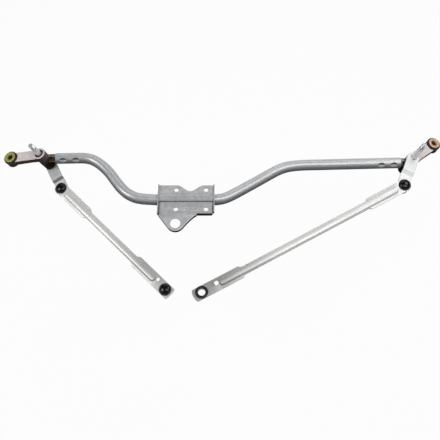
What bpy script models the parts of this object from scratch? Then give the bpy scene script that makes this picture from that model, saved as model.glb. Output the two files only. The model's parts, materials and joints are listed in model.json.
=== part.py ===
"""Wiper linkage: a bent tube frame with a motor bracket, two wiper pivots, cranks and push rods.

Metres, +Z up toward the wiper arms. The origin lies in the plane of the frame tube, in front of its
middle and under the motor bracket. X runs along the frame. Heights along a spindle are measured from
the point where its axis meets the plane of the frame tube.
"""
import math

import bmesh
import bpy
from mathutils import Matrix, Vector
from mathutils.geometry import interpolate_bezier

# Fits
SEAT_GAP = 0.0003
RUNNING_GAP = 0.00008
CUT_MARGIN = 0.002
SHAFT_STEPS = 24
ROUND_STEPS = 20
ARC_STEP = 22.5
COARSE_ARC_STEP = 45.0
SMOOTH_ANGLE = math.radians(35)
WELD_DISTANCE = 0.000002
STRAIGHT_ANGLE = 0.008

# Frame tube: a route of points chosen along its bends, joined to a smooth curve
TUBE_RADIUS = 0.011
TUBE_WALL = 0.0015
TUBE_STRAIGHT_END = 0.052
TUBE_SPACING = 0.015
TUBE_SIDES = 16
LEFT_TUBE_END = Vector((-0.2796, 0.1202, 0.0))
LEFT_TUBE_HEADING = 1.0
RIGHT_TUBE_END = Vector((0.4251, 0.1096, 0.0))
RIGHT_TUBE_HEADING = 181.7
TUBE_SEAT_Y = 0.0215
LEFT_BEND = ((-0.2155, 0.1200), (-0.2015, 0.1152), (-0.1865, 0.1047), (-0.1690, 0.0870), (-0.1530, 0.0650),
             (-0.1390, 0.0468), (-0.1238, 0.0332), (-0.1045, 0.0248))
RIGHT_BEND = ((0.0650, 0.0247), (0.0808, 0.0324), (0.1172, 0.0551), (0.1480, 0.0750), (0.1687, 0.0882),
              (0.1800, 0.0943), (0.1935, 0.0992), (0.2100, 0.1022))
RIGHT_STRAIGHT_START = 0.2326
TUBE_SEAT_LEAD = 0.006

# Motor bracket: one pressing with a saddle over the tube, measured from a point on its plate midway
# between its two lower bolt holes
BRACKET_FRAME = Matrix.Translation((0.0, -0.0053, 0.0095))
SHEET = 0.002
BRACKET_LEFT = -0.0635
BRACKET_RIGHT = 0.0440
BRACKET_TOP = 0.0547
BRACKET_BOTTOM = -0.0092
SADDLE_UPPER_FILLET = 0.003
SADDLE_LOWER_FILLET = 0.001
SADDLE_ARC_STEP = 11.25
SCALLOP_DEPTH = 0.0135
SCALLOP_WIDTH = 0.053
BOLT_SPACING_X = 0.059
BOLT_SPACING_Y = 0.044
BOLT_HOLE_RADIUS = 0.0045
LOCATOR_HOLE_RADIUS = 0.0015
LOCATOR_HOLE_X = -0.0123
LIP_LENGTH = 0.0060
LIP_ANGLE = 78.0
LIP_TO_SADDLE = 0.0030
SKIRT_DEPTH = 0.010
SKIRT_CORNER = 0.006
LUG_FOLD_Y = -0.0129
LUG_TILT = 10.0
LUG_RIGHT = 0.0115
LUG_HOLE_X = -0.0298
LUG_HOLE_DROP = 0.017
LUG_HOLE_RADIUS = 0.010
LUG_ROUND_RADIUS = 0.0180
LUG_ROUND_DROP = 0.0148
LUG_SKIRT = 0.009
SCALLOP_STEPS = 16
SCALLOP_SHIFT = 0.008
LOCATOR_STEPS = 16

# Pivots: barrel, bearings and seals
BARREL_RADIUS = 0.0125
BARREL_DRAFT = 0.0008
BARREL_CHAMFER = 0.0008
SPINDLE_RADIUS = 0.0055
BEARING_WALL = 0.00190
BEARING_LENGTH = 0.012
RECESS_RADIUS = 0.0088
RECESS_DEPTH = 0.007
WASHER_THICKNESS = 0.0010
CIRCLIP_THICKNESS = 0.0012
CIRCLIP_BITE = 0.0003
CIRCLIP_WIDTH = 0.0022
CIRCLIP_OPENING = 0.004
THRUST_WASHER_THICKNESS = 0.0014
THRUST_WASHER_RADIUS = 0.0095
STAKE_RADIUS = 0.0070
STAKE_THICKNESS = 0.0018
JOURNAL_STEP = 0.0007
THREAD_RADIUS = 0.0049
THREAD_LENGTH = 0.0105
THREAD_CHAMFER = 0.0009
UNDERCUT_RADIUS = 0.0040
UNDERCUT_LENGTH = 0.0015
CONE_LENGTH = 0.008
CONE_DROP = 0.0004

# Pivots: cast arm, eye and spigot
ARM_THICKNESS = 0.013
ARM_FLANGE = 0.0040
ARM_HALF_WIDTH = 0.0112
ARM_WAIST_HALF_WIDTH = 0.0105
ARM_WEB_HALF_WIDTH = 0.0070
ARM_TOP_FLANGE = 0.0020
EYE_RADIUS = 0.0132
EYE_THICKNESS = 0.0070
SPIGOT_LENGTH = 0.048
SPIGOT_GROOVES = (0.0155, 0.0385)
SPIGOT_GROOVE_DEPTH = 0.0016
SPIGOT_GROOVE_LENGTH = 0.012
NECK_RIB = 0.0045
NECK_RADIUS = 0.0098

# Rubber bush and flanged sleeve
BUSH_RADIUS = 0.0143
BUSH_GROOVE_RADIUS = 0.0102
BUSH_FLANGE = 0.0048
BUSH_ROUND = 0.0016
SLEEVE_RADIUS = 0.0072
SLEEVE_BORE_RADIUS = 0.0042
SLEEVE_FLANGE_RADIUS = 0.0114
SLEEVE_FLANGE_THICKNESS = 0.0020
SLEEVE_DISH_RADIUS = 0.0066
SLEEVE_DISH_DEPTH = 0.0035
SLEEVE_DISH_SLOPE = 0.0010
SLEEVE_EDGE = 0.0003

# Cranks and ball studs
CRANK_THICKNESS = 0.0045
CRANK_HUB_RADIUS = 0.0120
CRANK_TIP_RADIUS = 0.0118
CRANK_STEP = 0.0080
CRANK_STEP_START = 0.034
CRANK_STEP_RUN = 0.008
BALL_RADIUS = 0.0065
BALL_HEIGHT = 0.0100
STUD_NECK_RADIUS = 0.0036
STUD_SHANK_RADIUS = 0.0040
STUD_COLLAR_RADIUS = 0.0062
STUD_COLLAR_THICKNESS = 0.0018
STUD_RIVET_RADIUS = 0.0056
STUD_RIVET_THICKNESS = 0.0014
STUD_RIVET_BEVEL = 0.0005
DUST_SEAL_RADIUS = 0.0104
DUST_SEAL_THICKNESS = 0.0022

# Ball sockets
SOCKET_RADIUS = 0.0120
SOCKET_DOME_HEIGHT = 0.0072
SOCKET_NECK_RADIUS = 0.0094
SOCKET_SKIRT_RADIUS = 0.0108
SOCKET_SKIRT_DEPTH = 0.0052
SOCKET_MOUTH_RADIUS = 0.0062
SOCKET_MOUTH_BEVEL = 0.0020
SOCKET_EDGE = 0.0010
RING_SOCKET_BORE_RADIUS = 0.0068
RING_SOCKET_HEIGHT = 0.0052

# Push rods: pressed strips with a raised rib along the middle, hollow below
ROD_SHEET = 0.0020
ROD_EYE_HALF_WIDTH = 0.0124
ROD_HEAD_RADIUS = 0.0136
ROD_WAIST_HALF_WIDTH = 0.0080
ROD_RIB_HALF_WIDTH = 0.0074
ROD_RIB_HEIGHT = 0.0040
ROD_RIB_START = 0.018
ROD_RIB_TO_HOLE = 0.0010
ROD_SHOULDER = 0.0085
ROD_WAIST_START = 0.082
ROD_WAIST_END_FROM_TIP = 0.081


class Pivot:
    """Where one wiper pivot stands and how its crank, arm and rod lie.

    crank_side is -1 where the crank is behind the barrel and +1 where it is in front of it.
    """

    def __init__(self, side, foot, axis, tube_end, tube_heading, crank_side, barrel_front,
                 barrel_length, spindle_reach, arm_height, arm_heading, arm_length, crank_heading,
                 crank_length, rod_heading, rod_pitch, rod_length, drain_hole_radius,
                 drain_hole_from_tip, drain_hole_offset, rod_end_bulge, rod_end_reach):
        self.side = side
        self.foot = foot
        self.axis = axis.normalized()
        self.tube_end = tube_end
        self.tube_heading = tube_heading
        self.crank_side = crank_side
        self.barrel_front = barrel_front
        self.barrel_back = barrel_front - barrel_length
        self.spindle_reach = spindle_reach
        self.arm_height = arm_height
        self.arm_heading = arm_heading
        self.arm_length = arm_length
        self.crank_heading = crank_heading
        self.crank_length = crank_length
        self.rod_heading = rod_heading
        self.rod_pitch = rod_pitch
        self.rod_length = rod_length
        self.drain_hole_radius = drain_hole_radius
        self.drain_hole_from_tip = drain_hole_from_tip
        self.drain_hole_offset = drain_hole_offset
        self.rod_end_bulge = rod_end_bulge
        self.rod_end_reach = rod_end_reach

    @property
    def crank_face(self):
        """Height of the barrel end that faces the crank."""
        return self.barrel_front if self.crank_side > 0 else self.barrel_back

    @property
    def recess_face(self):
        """Height of the barrel end that holds the seal and the circlip."""
        return self.barrel_back if self.crank_side > 0 else self.barrel_front

    @property
    def spindle_tip(self):
        return self.barrel_front + self.spindle_reach

    def beyond_crank_face(self, distance):
        """Height of a point outside the barrel, on the crank's side."""
        return self.crank_face + self.crank_side * distance

    def inside_recess(self, depth):
        """Height of a point inside the barrel, measured from its recessed end."""
        return self.recess_face + self.crank_side * depth

    @property
    def hub_front(self):
        """Height of the crank hub's face toward the wiper arm."""
        near = self.beyond_crank_face(THRUST_WASHER_THICKNESS + 2 * SEAT_GAP)
        return near + CRANK_THICKNESS if self.crank_side > 0 else near

    @property
    def tip_front(self):
        """Height of the front face of the crank's ball end."""
        return self.hub_front - CRANK_STEP

    def frame(self, heading, height=0.0):
        """Axes on the spindle: Z along it, X toward a compass heading seen from above."""
        angle = math.radians(heading)
        level = Vector((math.cos(angle), math.sin(angle), 0.0))
        level.z = -level.dot(self.axis) / self.axis.z
        return axes(self.foot + self.axis * height, self.axis, level)

    @property
    def crank_frame(self):
        return self.frame(self.crank_heading)

    @property
    def stud_frame(self):
        """Axes on the ball stud, with the origin on the crank's front face."""
        return self.crank_frame @ Matrix.Translation((self.crank_length, 0.0, self.tip_front))

    @property
    def eye_frame(self):
        arm = self.frame(self.arm_heading, self.arm_height)
        return arm @ Matrix.Translation((self.arm_length, 0.0, 0.0))

    @property
    def rod_frame(self):
        """Axes on the crank's ball: X along the rod, Z square to it and nearest to the stud."""
        ball = self.stud_frame @ Vector((0.0, 0.0, BALL_HEIGHT))
        heading = math.radians(self.rod_heading)
        pitch = math.radians(self.rod_pitch)
        along = Vector((math.cos(heading) * math.cos(pitch), math.sin(heading) * math.cos(pitch),
                        math.sin(pitch)))
        up = self.axis - along * self.axis.dot(along)
        return axes(ball, up, along)


def axes(origin, z_axis, x_axis):
    """Matrix of a right-handed frame from its origin and its Z and X directions."""
    z_axis = z_axis.normalized()
    x_axis = x_axis.normalized()
    y_axis = z_axis.cross(x_axis)
    matrix = Matrix((x_axis, y_axis, z_axis)).transposed().to_4x4()
    matrix.translation = origin
    return matrix


LEFT = Pivot(side="left", foot=Vector((-0.3021, 0.1175, 0.0)), axis=Vector((-0.25, -0.10, 0.96)),
             tube_end=LEFT_TUBE_END, tube_heading=LEFT_TUBE_HEADING, crank_side=-1,
             barrel_front=0.0270, barrel_length=0.0500, spindle_reach=0.0340,
             arm_height=0.0180, arm_heading=178.7, arm_length=0.0643,
             crank_heading=-63.5, crank_length=0.0662,
             rod_heading=-45.4, rod_pitch=0.5, rod_length=0.3148,
             drain_hole_radius=0.0034, drain_hole_from_tip=0.0245, drain_hole_offset=0.0045,
             rod_end_bulge=0.0020, rod_end_reach=0.0150)
RIGHT = Pivot(side="right", foot=Vector((0.4422, 0.1076, 0.0)), axis=Vector((0.19, -0.05, 0.98)),
              tube_end=RIGHT_TUBE_END, tube_heading=RIGHT_TUBE_HEADING, crank_side=1,
              barrel_front=0.0183, barrel_length=0.0440, spindle_reach=0.0540,
              arm_height=0.0110, arm_heading=39.6, arm_length=0.0682,
              crank_heading=-112.9, crank_length=0.0742,
              rod_heading=-151.7, rod_pitch=-4.2, rod_length=0.4501,
              drain_hole_radius=0.0042, drain_hole_from_tip=0.0325, drain_hole_offset=-0.0030,
              rod_end_bulge=0.0050, rod_end_reach=0.0180)

# Colours: name, base colour, roughness, metallic
FINISHES = {
    "galvanised_steel": ((0.42, 0.43, 0.43), 0.45, 0.9),
    "bracket_steel": ((0.48, 0.49, 0.48), 0.55, 0.85),
    "cast_aluminium": ((0.62, 0.58, 0.57), 0.5, 0.8),
    "bright_steel": ((0.72, 0.73, 0.73), 0.35, 0.9),
    "spindle_steel": ((0.45, 0.46, 0.47), 0.35, 0.95),
    "yellow_zinc": ((0.55, 0.52, 0.22), 0.4, 0.8),
    "copper_zinc": ((0.62, 0.40, 0.26), 0.4, 0.8),
    "sintered_bronze": ((0.38, 0.27, 0.13), 0.5, 0.8),
    "black_rubber": ((0.025, 0.02, 0.018), 0.75, 0.0),
    "black_plastic": ((0.015, 0.015, 0.016), 0.3, 0.0),
}


def clear_scene():
    """Remove what a new Blender file holds."""
    for obj in list(bpy.data.objects):
        bpy.data.objects.remove(obj)


def make_materials():
    """Make one Principled material for each finish."""
    for name, (colour, roughness, metallic) in FINISHES.items():
        material = bpy.data.materials.new(name)
        material.use_nodes = True
        shader = material.node_tree.nodes["Principled BSDF"]
        shader.inputs["Base Color"].default_value = (*colour, 1.0)
        shader.inputs["Roughness"].default_value = roughness
        shader.inputs["Metallic"].default_value = metallic
        material.diffuse_color = (*colour, 1.0)


def link(name, data, frame):
    """Place new object data at a frame."""
    obj = bpy.data.objects.new(name, data)
    obj.matrix_world = frame
    bpy.context.scene.collection.objects.link(obj)
    return obj


def bake(obj):
    """Turn a curve or an object with modifiers into a plain closed mesh at the same place."""
    bpy.context.view_layer.update()
    evaluated = obj.evaluated_get(bpy.context.evaluated_depsgraph_get())
    mesh = bpy.data.meshes.new_from_object(evaluated)
    form = bmesh.new()
    form.from_mesh(mesh)
    bmesh.ops.remove_doubles(form, verts=form.verts, dist=WELD_DISTANCE)
    bmesh.ops.recalc_face_normals(form, faces=form.faces)
    form.to_mesh(mesh)
    form.free()
    result = link(obj.name, mesh, obj.matrix_world.copy())
    bpy.data.objects.remove(obj)
    return result


def combine(base, tools, operation):
    """Join tools to a base, cut them from it or keep what they share, and remove the tools."""
    for tool in tools:
        modifier = base.modifiers.new(operation.title(), "BOOLEAN")
        modifier.operation = operation
        modifier.solver = "EXACT"
        modifier.object = tool
    result = bake(base)
    for tool in tools:
        bpy.data.objects.remove(tool)
    return result


def finish(obj, name, material, collection):
    """Name a finished piece, shade it and put it among the parts."""
    obj.name = name
    obj.data.name = name
    obj.data.materials.clear()
    obj.data.materials.append(bpy.data.materials[material])
    obj.data.shade_smooth()
    obj.data.set_sharp_from_angle(angle=SMOOTH_ANGLE)
    bpy.context.scene.collection.objects.unlink(obj)
    collection.objects.link(obj)
    return obj


def arc(centre, radius, start, end, step=ARC_STEP):
    """Points on an arc between two angles in degrees, both ends included."""
    steps = max(2, math.ceil(abs(end - start) / step - 0.001))
    angles = [math.radians(start + (end - start) * i / steps) for i in range(steps + 1)]
    return [(centre[0] + radius * math.cos(a), centre[1] + radius * math.sin(a)) for a in angles]


def rounded(corners):
    """Outline through corners given as x, y and radius, with each corner turned by an arc."""
    points = []
    for i, (x, y, radius) in enumerate(corners):
        here = Vector((x, y))
        back = (Vector(corners[i - 1][:2]) - here).normalized()
        ahead = (Vector(corners[(i + 1) % len(corners)][:2]) - here).normalized()
        if radius == 0.0:
            points.append((x, y))
            continue
        half = back.angle(ahead) / 2
        centre = here + (back + ahead).normalized() * (radius / math.sin(half))
        start = here + back * (radius / math.tan(half)) - centre
        end = here + ahead * (radius / math.tan(half)) - centre
        turn = math.degrees(math.atan2(start.x * end.y - start.y * end.x, start.dot(end)))
        first = math.degrees(math.atan2(start.y, start.x))
        points += arc(centre, radius, first, first + turn)
    return points


def capsule(start_radius, end_radius, length):
    """Outline round two circles on the X axis, joined by their outer tangents."""
    lean = math.degrees(math.asin((start_radius - end_radius) / length))
    return (arc((length, 0.0), end_radius, lean - 90.0, 90.0 - lean)
            + arc((0.0, 0.0), start_radius, 90.0 - lean, 270.0 + lean))


def extruded(name, outlines, bottom, top, frame):
    """Flat solid between two heights from closed outlines, the later ones being holes."""
    curve = bpy.data.curves.new(name, "CURVE")
    curve.dimensions = "2D"
    curve.fill_mode = "BOTH"
    curve.extrude = (top - bottom) / 2
    for outline in outlines:
        spline = curve.splines.new("POLY")
        spline.points.add(len(outline) - 1)
        for point, (x, y) in zip(spline.points, outline):
            point.co = (x, y, 0.0, 1.0)
        spline.use_cyclic_u = True
    return bake(link(name, curve, frame @ Matrix.Translation((0.0, 0.0, (top + bottom) / 2))))


def turned(name, profile, frame, steps=SHAFT_STEPS):
    """Solid of revolution about the frame's Z axis from points of radius and height."""
    area = sum(a[0] * b[1] - b[0] * a[1] for a, b in zip(profile, profile[1:] + profile[:1]))
    if area > 0:
        profile = profile[::-1]
    count = len(profile)
    edges = [(i, i + 1) for i in range(count - 1)]
    if profile[0][0] > 0:
        edges.append((count - 1, 0))
    mesh = bpy.data.meshes.new(name)
    mesh.from_pydata([(radius, 0.0, height) for radius, height in profile], edges, [])
    obj = link(name, mesh, frame)
    screw = obj.modifiers.new("Turn", "SCREW")
    screw.axis = "Z"
    screw.steps = steps
    screw.render_steps = steps
    screw.use_merge_vertices = True
    screw.merge_threshold = WELD_DISTANCE
    return bake(obj)


def ring(name, inner, outer, bottom, top, frame, steps=SHAFT_STEPS):
    """Plain washer or sleeve."""
    profile = [(outer, top), (outer, bottom), (inner, bottom), (inner, top)]
    return turned(name, profile, frame, steps)


def rod_solid(name, radius, bottom, top, frame, steps=SHAFT_STEPS):
    """Plain round bar along the frame's Z axis, also used as a drill."""
    profile = [(0.0, top), (radius, top), (radius, bottom), (0.0, bottom)]
    return turned(name, profile, frame, steps)


def box(name, low, high, frame):
    """Block between two opposite corners in a frame."""
    outline = [(low[0], low[1]), (high[0], low[1]), (high[0], high[1]), (low[0], high[1])]
    return extruded(name, [outline], low[2], high[2], frame)


def side_on(frame):
    """Axes that draw in a frame's XZ plane and extrude along its Y."""
    return frame @ Matrix.Rotation(math.radians(90), 4, "X")


def heading_frame(origin, heading):
    """Level axes with Z along a heading and X sideways, for pieces about the tube's axis."""
    along = Vector((math.cos(math.radians(heading)), math.sin(math.radians(heading)), 0.0))
    return axes(origin, along, Vector((0.0, 0.0, 1.0)).cross(along))


def straight_points(start, heading, length):
    """Points at the spacing of the tube route along a straight stretch."""
    angle = math.radians(heading)
    steps = max(1, round(length / (2 * TUBE_SPACING)))
    return [(start.x + math.cos(angle) * length * i / steps, start.y + math.sin(angle) * length * i / steps)
            for i in range(steps + 1)]


def tube_route():
    """Points chosen along the tube's axis, from the left end to the right one."""
    left = straight_points(LEFT_TUBE_END, LEFT_TUBE_HEADING, TUBE_STRAIGHT_END)
    run = (RIGHT_TUBE_END.x - RIGHT_STRAIGHT_START) / -math.cos(math.radians(RIGHT_TUBE_HEADING))
    right = straight_points(RIGHT_TUBE_END, RIGHT_TUBE_HEADING, run)[::-1]
    seat = [(BRACKET_LEFT - TUBE_SEAT_LEAD, TUBE_SEAT_Y), (BRACKET_LEFT, TUBE_SEAT_Y),
            (BRACKET_RIGHT, TUBE_SEAT_Y), (BRACKET_RIGHT + TUBE_SEAT_LEAD, TUBE_SEAT_Y)]
    return left + list(LEFT_BEND) + seat + list(RIGHT_BEND) + right


def smooth_path(route, spacing):
    """Points at about one spacing along a smooth curve through a route."""
    points = [Vector((x, y, 0.0)) for x, y in route]
    ahead = points[1:] + [points[-1]]
    behind = [points[0]] + points[:-1]
    tangents = [(b - a).normalized() for a, b in zip(behind, ahead)]
    path = []
    for start, end, leave, arrive in zip(points, points[1:], tangents, tangents[1:]):
        reach = (end - start).length / 3
        bent = leave.angle(arrive) > STRAIGHT_ANGLE
        count = math.ceil((end - start).length / spacing) if bent else 1
        path += interpolate_bezier(start, start + leave * reach, end - arrive * reach, end, count + 1)[:-1]
    return path + [points[-1]]


def make_frame_tube(collection):
    """Steel tube bent in one plane, open at both ends."""
    path = smooth_path(tube_route(), TUBE_SPACING)
    curve = bpy.data.curves.new("frame_tube", "CURVE")
    curve.dimensions = "3D"
    curve.bevel_depth = TUBE_RADIUS
    curve.bevel_resolution = (TUBE_SIDES - 4) // 2
    spline = curve.splines.new("POLY")
    spline.points.add(len(path) - 1)
    for point, position in zip(spline.points, path):
        point.co = (*position, 1.0)
    skin = bake(link("frame_tube", curve, Matrix.Identity(4)))
    wall = skin.modifiers.new("Wall", "SOLIDIFY")
    wall.thickness = TUBE_WALL
    wall.offset = -1.0
    finish(bake(skin), "frame_tube", "galvanised_steel", collection)


def saddle_place():
    """Centre of the saddle's arc in the bracket's YZ plane, and its radius."""
    centre = BRACKET_FRAME.inverted() @ Vector((0.0, TUBE_SEAT_Y, 0.0))
    return centre.y, centre.z, TUBE_RADIUS + SEAT_GAP + SHEET


def saddle_foot(fillet):
    """Distance along the plate from the tube's axis to a fillet's centre, and the angle where they meet."""
    _, depth, saddle = saddle_place()
    rise = fillet - depth
    reach = math.sqrt((saddle + fillet) ** 2 - rise ** 2)
    return reach, math.degrees(math.atan2(rise, reach))


def bracket_section():
    """Upper face of the bracket in the YZ plane: flange, saddle over the tube, flange."""
    middle, depth, saddle = saddle_place()
    reach, start = saddle_foot(SADDLE_UPPER_FILLET)
    upper = arc((middle + reach, SADDLE_UPPER_FILLET), SADDLE_UPPER_FILLET, -90.0, -180.0 + start)
    reach, end = saddle_foot(SADDLE_LOWER_FILLET)
    lower = arc((middle - reach, SADDLE_LOWER_FILLET), SADDLE_LOWER_FILLET, -end, -90.0)
    crest = arc((middle, depth), saddle, start, 180.0 - end, SADDLE_ARC_STEP)
    return [(BRACKET_TOP, 0.0)] + upper + crest[1:-1] + lower + [(BRACKET_BOTTOM, 0.0)]


def bracket_sheet():
    """The pressed sheet with its saddle, as a surface thickened downward."""
    mesh = bpy.data.meshes.new("sheet")
    section = bracket_section()
    form = bmesh.new()
    line = [form.verts.new((BRACKET_LEFT, y, z)) for y, z in section]
    edges = [form.edges.new(pair) for pair in zip(line, line[1:])]
    swept = bmesh.ops.extrude_edge_only(form, edges=edges)["geom"]
    moved = [item for item in swept if isinstance(item, bmesh.types.BMVert)]
    bmesh.ops.translate(form, verts=moved, vec=(BRACKET_RIGHT - BRACKET_LEFT, 0.0, 0.0))
    bmesh.ops.recalc_face_normals(form, faces=form.faces)
    if sum(face.normal.z for face in form.faces) < 0:
        bmesh.ops.reverse_faces(form, faces=form.faces)
    form.to_mesh(mesh)
    form.free()
    sheet = link("sheet", mesh, BRACKET_FRAME)
    wall = sheet.modifiers.new("Sheet", "SOLIDIFY")
    wall.thickness = SHEET
    wall.offset = -1.0
    wall.use_even_offset = True
    return bake(sheet)


def scallop():
    """Cutter for the dip in the bracket's top edge: a cosine from the edge down to its depth."""
    centre = (BRACKET_LEFT + BRACKET_RIGHT) / 2 + SCALLOP_SHIFT
    outline = []
    for i in range(SCALLOP_STEPS + 1):
        share = 2 * i / SCALLOP_STEPS - 1
        drop = SCALLOP_DEPTH * (1 + math.cos(math.pi * share)) / 2
        outline.append((centre + share * SCALLOP_WIDTH / 2, BRACKET_TOP - drop))
    outline[0] = (outline[0][0], BRACKET_TOP + CUT_MARGIN)
    outline[-1] = (outline[-1][0], BRACKET_TOP + CUT_MARGIN)
    return extruded("scallop", [outline], -SHEET - CUT_MARGIN, CUT_MARGIN, BRACKET_FRAME)


def tangent_angle(point, centre, radius, side):
    """Angle at which a circle is touched by a line from an outside point."""
    offset = Vector(point) - Vector(centre)
    return math.degrees(math.atan2(offset.y, offset.x) + side * math.acos(radius / offset.length))


def lug_outline(inset):
    """Rounded triangle from the fold line to the rim of the lug's hole."""
    centre = (LUG_HOLE_X, -LUG_ROUND_DROP)
    radius = LUG_ROUND_RADIUS - inset
    left = (BRACKET_LEFT + inset, inset)
    right = (LUG_RIGHT - inset, inset)
    start = tangent_angle(left, centre, radius, 1.0)
    end = tangent_angle(right, centre, radius, -1.0)
    return [left] + arc(centre, radius, start, end + 360.0 if end < start else end) + [right]


def bracket_lips():
    """Flared strips along both short edges, above and below the saddle."""
    half = SHEET / 2
    middle = saddle_place()[0]
    spans = ((BRACKET_BOTTOM + SHEET, middle - saddle_foot(SADDLE_LOWER_FILLET)[0] - LIP_TO_SADDLE),
             (middle + saddle_foot(SADDLE_UPPER_FILLET)[0] + LIP_TO_SADDLE, BRACKET_TOP - SHEET))
    lips = []
    for edge, turn in ((BRACKET_LEFT, 180.0 - LIP_ANGLE), (BRACKET_RIGHT, LIP_ANGLE)):
        corner = BRACKET_FRAME @ Matrix.Translation((edge, 0.0, -half))
        frame = corner @ Matrix.Rotation(-math.radians(turn), 4, "Y")
        for low, high in spans:
            lips.append(box("lip", (-half, low, -half), (LIP_LENGTH, high, half), frame))
    return lips


def bracket_skirts():
    """Edge folded down at the lower right, and the strip that leads to the lug's fold."""
    half = SHEET / 2
    left = LUG_RIGHT - SHEET
    right = BRACKET_RIGHT - SHEET
    outline = rounded([(left, -half, 0.0), (left, -SKIRT_DEPTH, 0.0),
                       (right, -SKIRT_DEPTH, SKIRT_CORNER), (right, -half, 0.0)])
    level = side_on(BRACKET_FRAME)
    skirt = extruded("skirt", [outline], -BRACKET_BOTTOM - SHEET - half, -BRACKET_BOTTOM + half, level)
    apron = box("apron", (BRACKET_LEFT, LUG_FOLD_Y - half / 2, -SHEET),
                (LUG_RIGHT, BRACKET_BOTTOM + SHEET, 0.0), BRACKET_FRAME)
    return [skirt, apron]


def make_motor_bracket(collection):
    """Pressing that carries the motor: saddle, four bolt holes, flared lips and a tilted lug."""
    sheet = combine(bracket_sheet(), [scallop()], "DIFFERENCE")
    lug_frame = BRACKET_FRAME @ Matrix.Translation((0.0, LUG_FOLD_Y, 0.0))
    lug_frame = lug_frame @ Matrix.Rotation(math.radians(LUG_TILT), 4, "X")
    lug = extruded("lug", [lug_outline(0.0)], -LUG_SKIRT, 0.0, lug_frame)
    hollow = extruded("hollow", [lug_outline(SHEET)], -LUG_SKIRT - CUT_MARGIN, -SHEET, lug_frame)
    lug = combine(lug, [hollow], "DIFFERENCE")
    bracket = combine(sheet, bracket_lips() + bracket_skirts() + [lug], "UNION")
    lug_hole = lug_frame @ Matrix.Translation((LUG_HOLE_X, -LUG_HOLE_DROP, 0.0))
    drills = [rod_solid("lug_hole", LUG_HOLE_RADIUS, -LUG_SKIRT, CUT_MARGIN, lug_hole, ROUND_STEPS)]
    holes = [(LOCATOR_HOLE_X, 0.0, LOCATOR_HOLE_RADIUS, LOCATOR_STEPS)]
    for x in (-BOLT_SPACING_X / 2, BOLT_SPACING_X / 2):
        for y in (0.0, BOLT_SPACING_Y):
            holes.append((x, y, BOLT_HOLE_RADIUS, SHAFT_STEPS))
    for x, y, radius, steps in holes:
        place = BRACKET_FRAME @ Matrix.Translation((x, y, 0.0))
        drills.append(rod_solid("hole", radius, -SHEET - CUT_MARGIN, CUT_MARGIN, place, steps))
    finish(combine(bracket, drills, "DIFFERENCE"), "motor_bracket", "bracket_steel", collection)


def barrel_profile(pivot):
    """Outside of the barrel, with a casting draft and chamfered ends."""
    front = pivot.barrel_front
    back = pivot.barrel_back
    back_radius = BARREL_RADIUS - BARREL_DRAFT
    return [(0.0, front), (BARREL_RADIUS - BARREL_CHAMFER, front), (BARREL_RADIUS, front - BARREL_CHAMFER),
            (back_radius, back + BARREL_CHAMFER), (back_radius - BARREL_CHAMFER, back), (0.0, back)]


def bore_profile(pivot):
    """Inside of the barrel: a bearing bore with a wider recess at one end."""
    bore = SPINDLE_RADIUS + RUNNING_GAP + BEARING_WALL + SEAT_GAP
    out = pivot.inside_recess(-CUT_MARGIN)
    floor = pivot.inside_recess(RECESS_DEPTH)
    far = pivot.beyond_crank_face(CUT_MARGIN)
    return [(0.0, out), (RECESS_RADIUS, out), (RECESS_RADIUS, floor), (bore, floor), (bore, far), (0.0, far)]


def arm_plates(pivot):
    """Cast arm: an I section from the barrel to the eye, thinner at the eye."""
    frame = pivot.frame(pivot.arm_heading, pivot.arm_height)
    half = ARM_THICKNESS / 2
    end = pivot.arm_length - EYE_RADIUS
    flange = arm_outline(pivot.arm_length, ARM_HALF_WIDTH, ARM_WAIST_HALF_WIDTH)
    web = arm_outline(pivot.arm_length, ARM_WEB_HALF_WIDTH, ARM_WEB_HALF_WIDTH)
    short = arm_outline(end, ARM_HALF_WIDTH, ARM_WAIST_HALF_WIDTH)
    return [extruded("arm_top", [flange], half - ARM_FLANGE, half, frame),
            extruded("arm_web", [web], -half / 2, half - ARM_TOP_FLANGE, frame),
            extruded("arm_foot", [short], -half, -half + ARM_FLANGE, frame)]


def arm_outline(length, half_width, waist):
    """Arm seen from above, slightly waisted between the barrel and the eye."""
    middle = length / 2
    return [(0.0, -half_width), (middle, -waist), (length, -half_width),
            (length, half_width), (middle, waist), (0.0, half_width)]


def spigot_parts(pivot):
    """Ribbed neck and grooved plug that the tube is crimped on."""
    frame = heading_frame(pivot.tube_end, pivot.tube_heading)
    plug = TUBE_RADIUS - TUBE_WALL - SEAT_GAP
    reach = (pivot.tube_end - pivot.foot).length
    profile = [(0.0, SPIGOT_LENGTH), (plug - BARREL_CHAMFER, SPIGOT_LENGTH),
               (plug, SPIGOT_LENGTH - BARREL_CHAMFER)]
    for centre in SPIGOT_GROOVES[::-1]:
        half = SPIGOT_GROOVE_LENGTH / 2
        profile += [(plug, centre + half), (plug - SPIGOT_GROOVE_DEPTH, centre + half / 2),
                    (plug - SPIGOT_GROOVE_DEPTH, centre - half / 2), (plug, centre - half)]
    profile += [(plug, -SEAT_GAP), (0.0, -SEAT_GAP)]
    spigot = turned("spigot", profile, frame, ROUND_STEPS)
    rib = NECK_RIB / 2
    level = box("neck_level", (-NECK_RADIUS, -rib, -reach), (NECK_RADIUS, rib, 0.0), frame)
    upright = box("neck_upright", (-rib, -NECK_RADIUS, -reach), (rib, NECK_RADIUS, 0.0), frame)
    return [spigot, level, upright]


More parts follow.
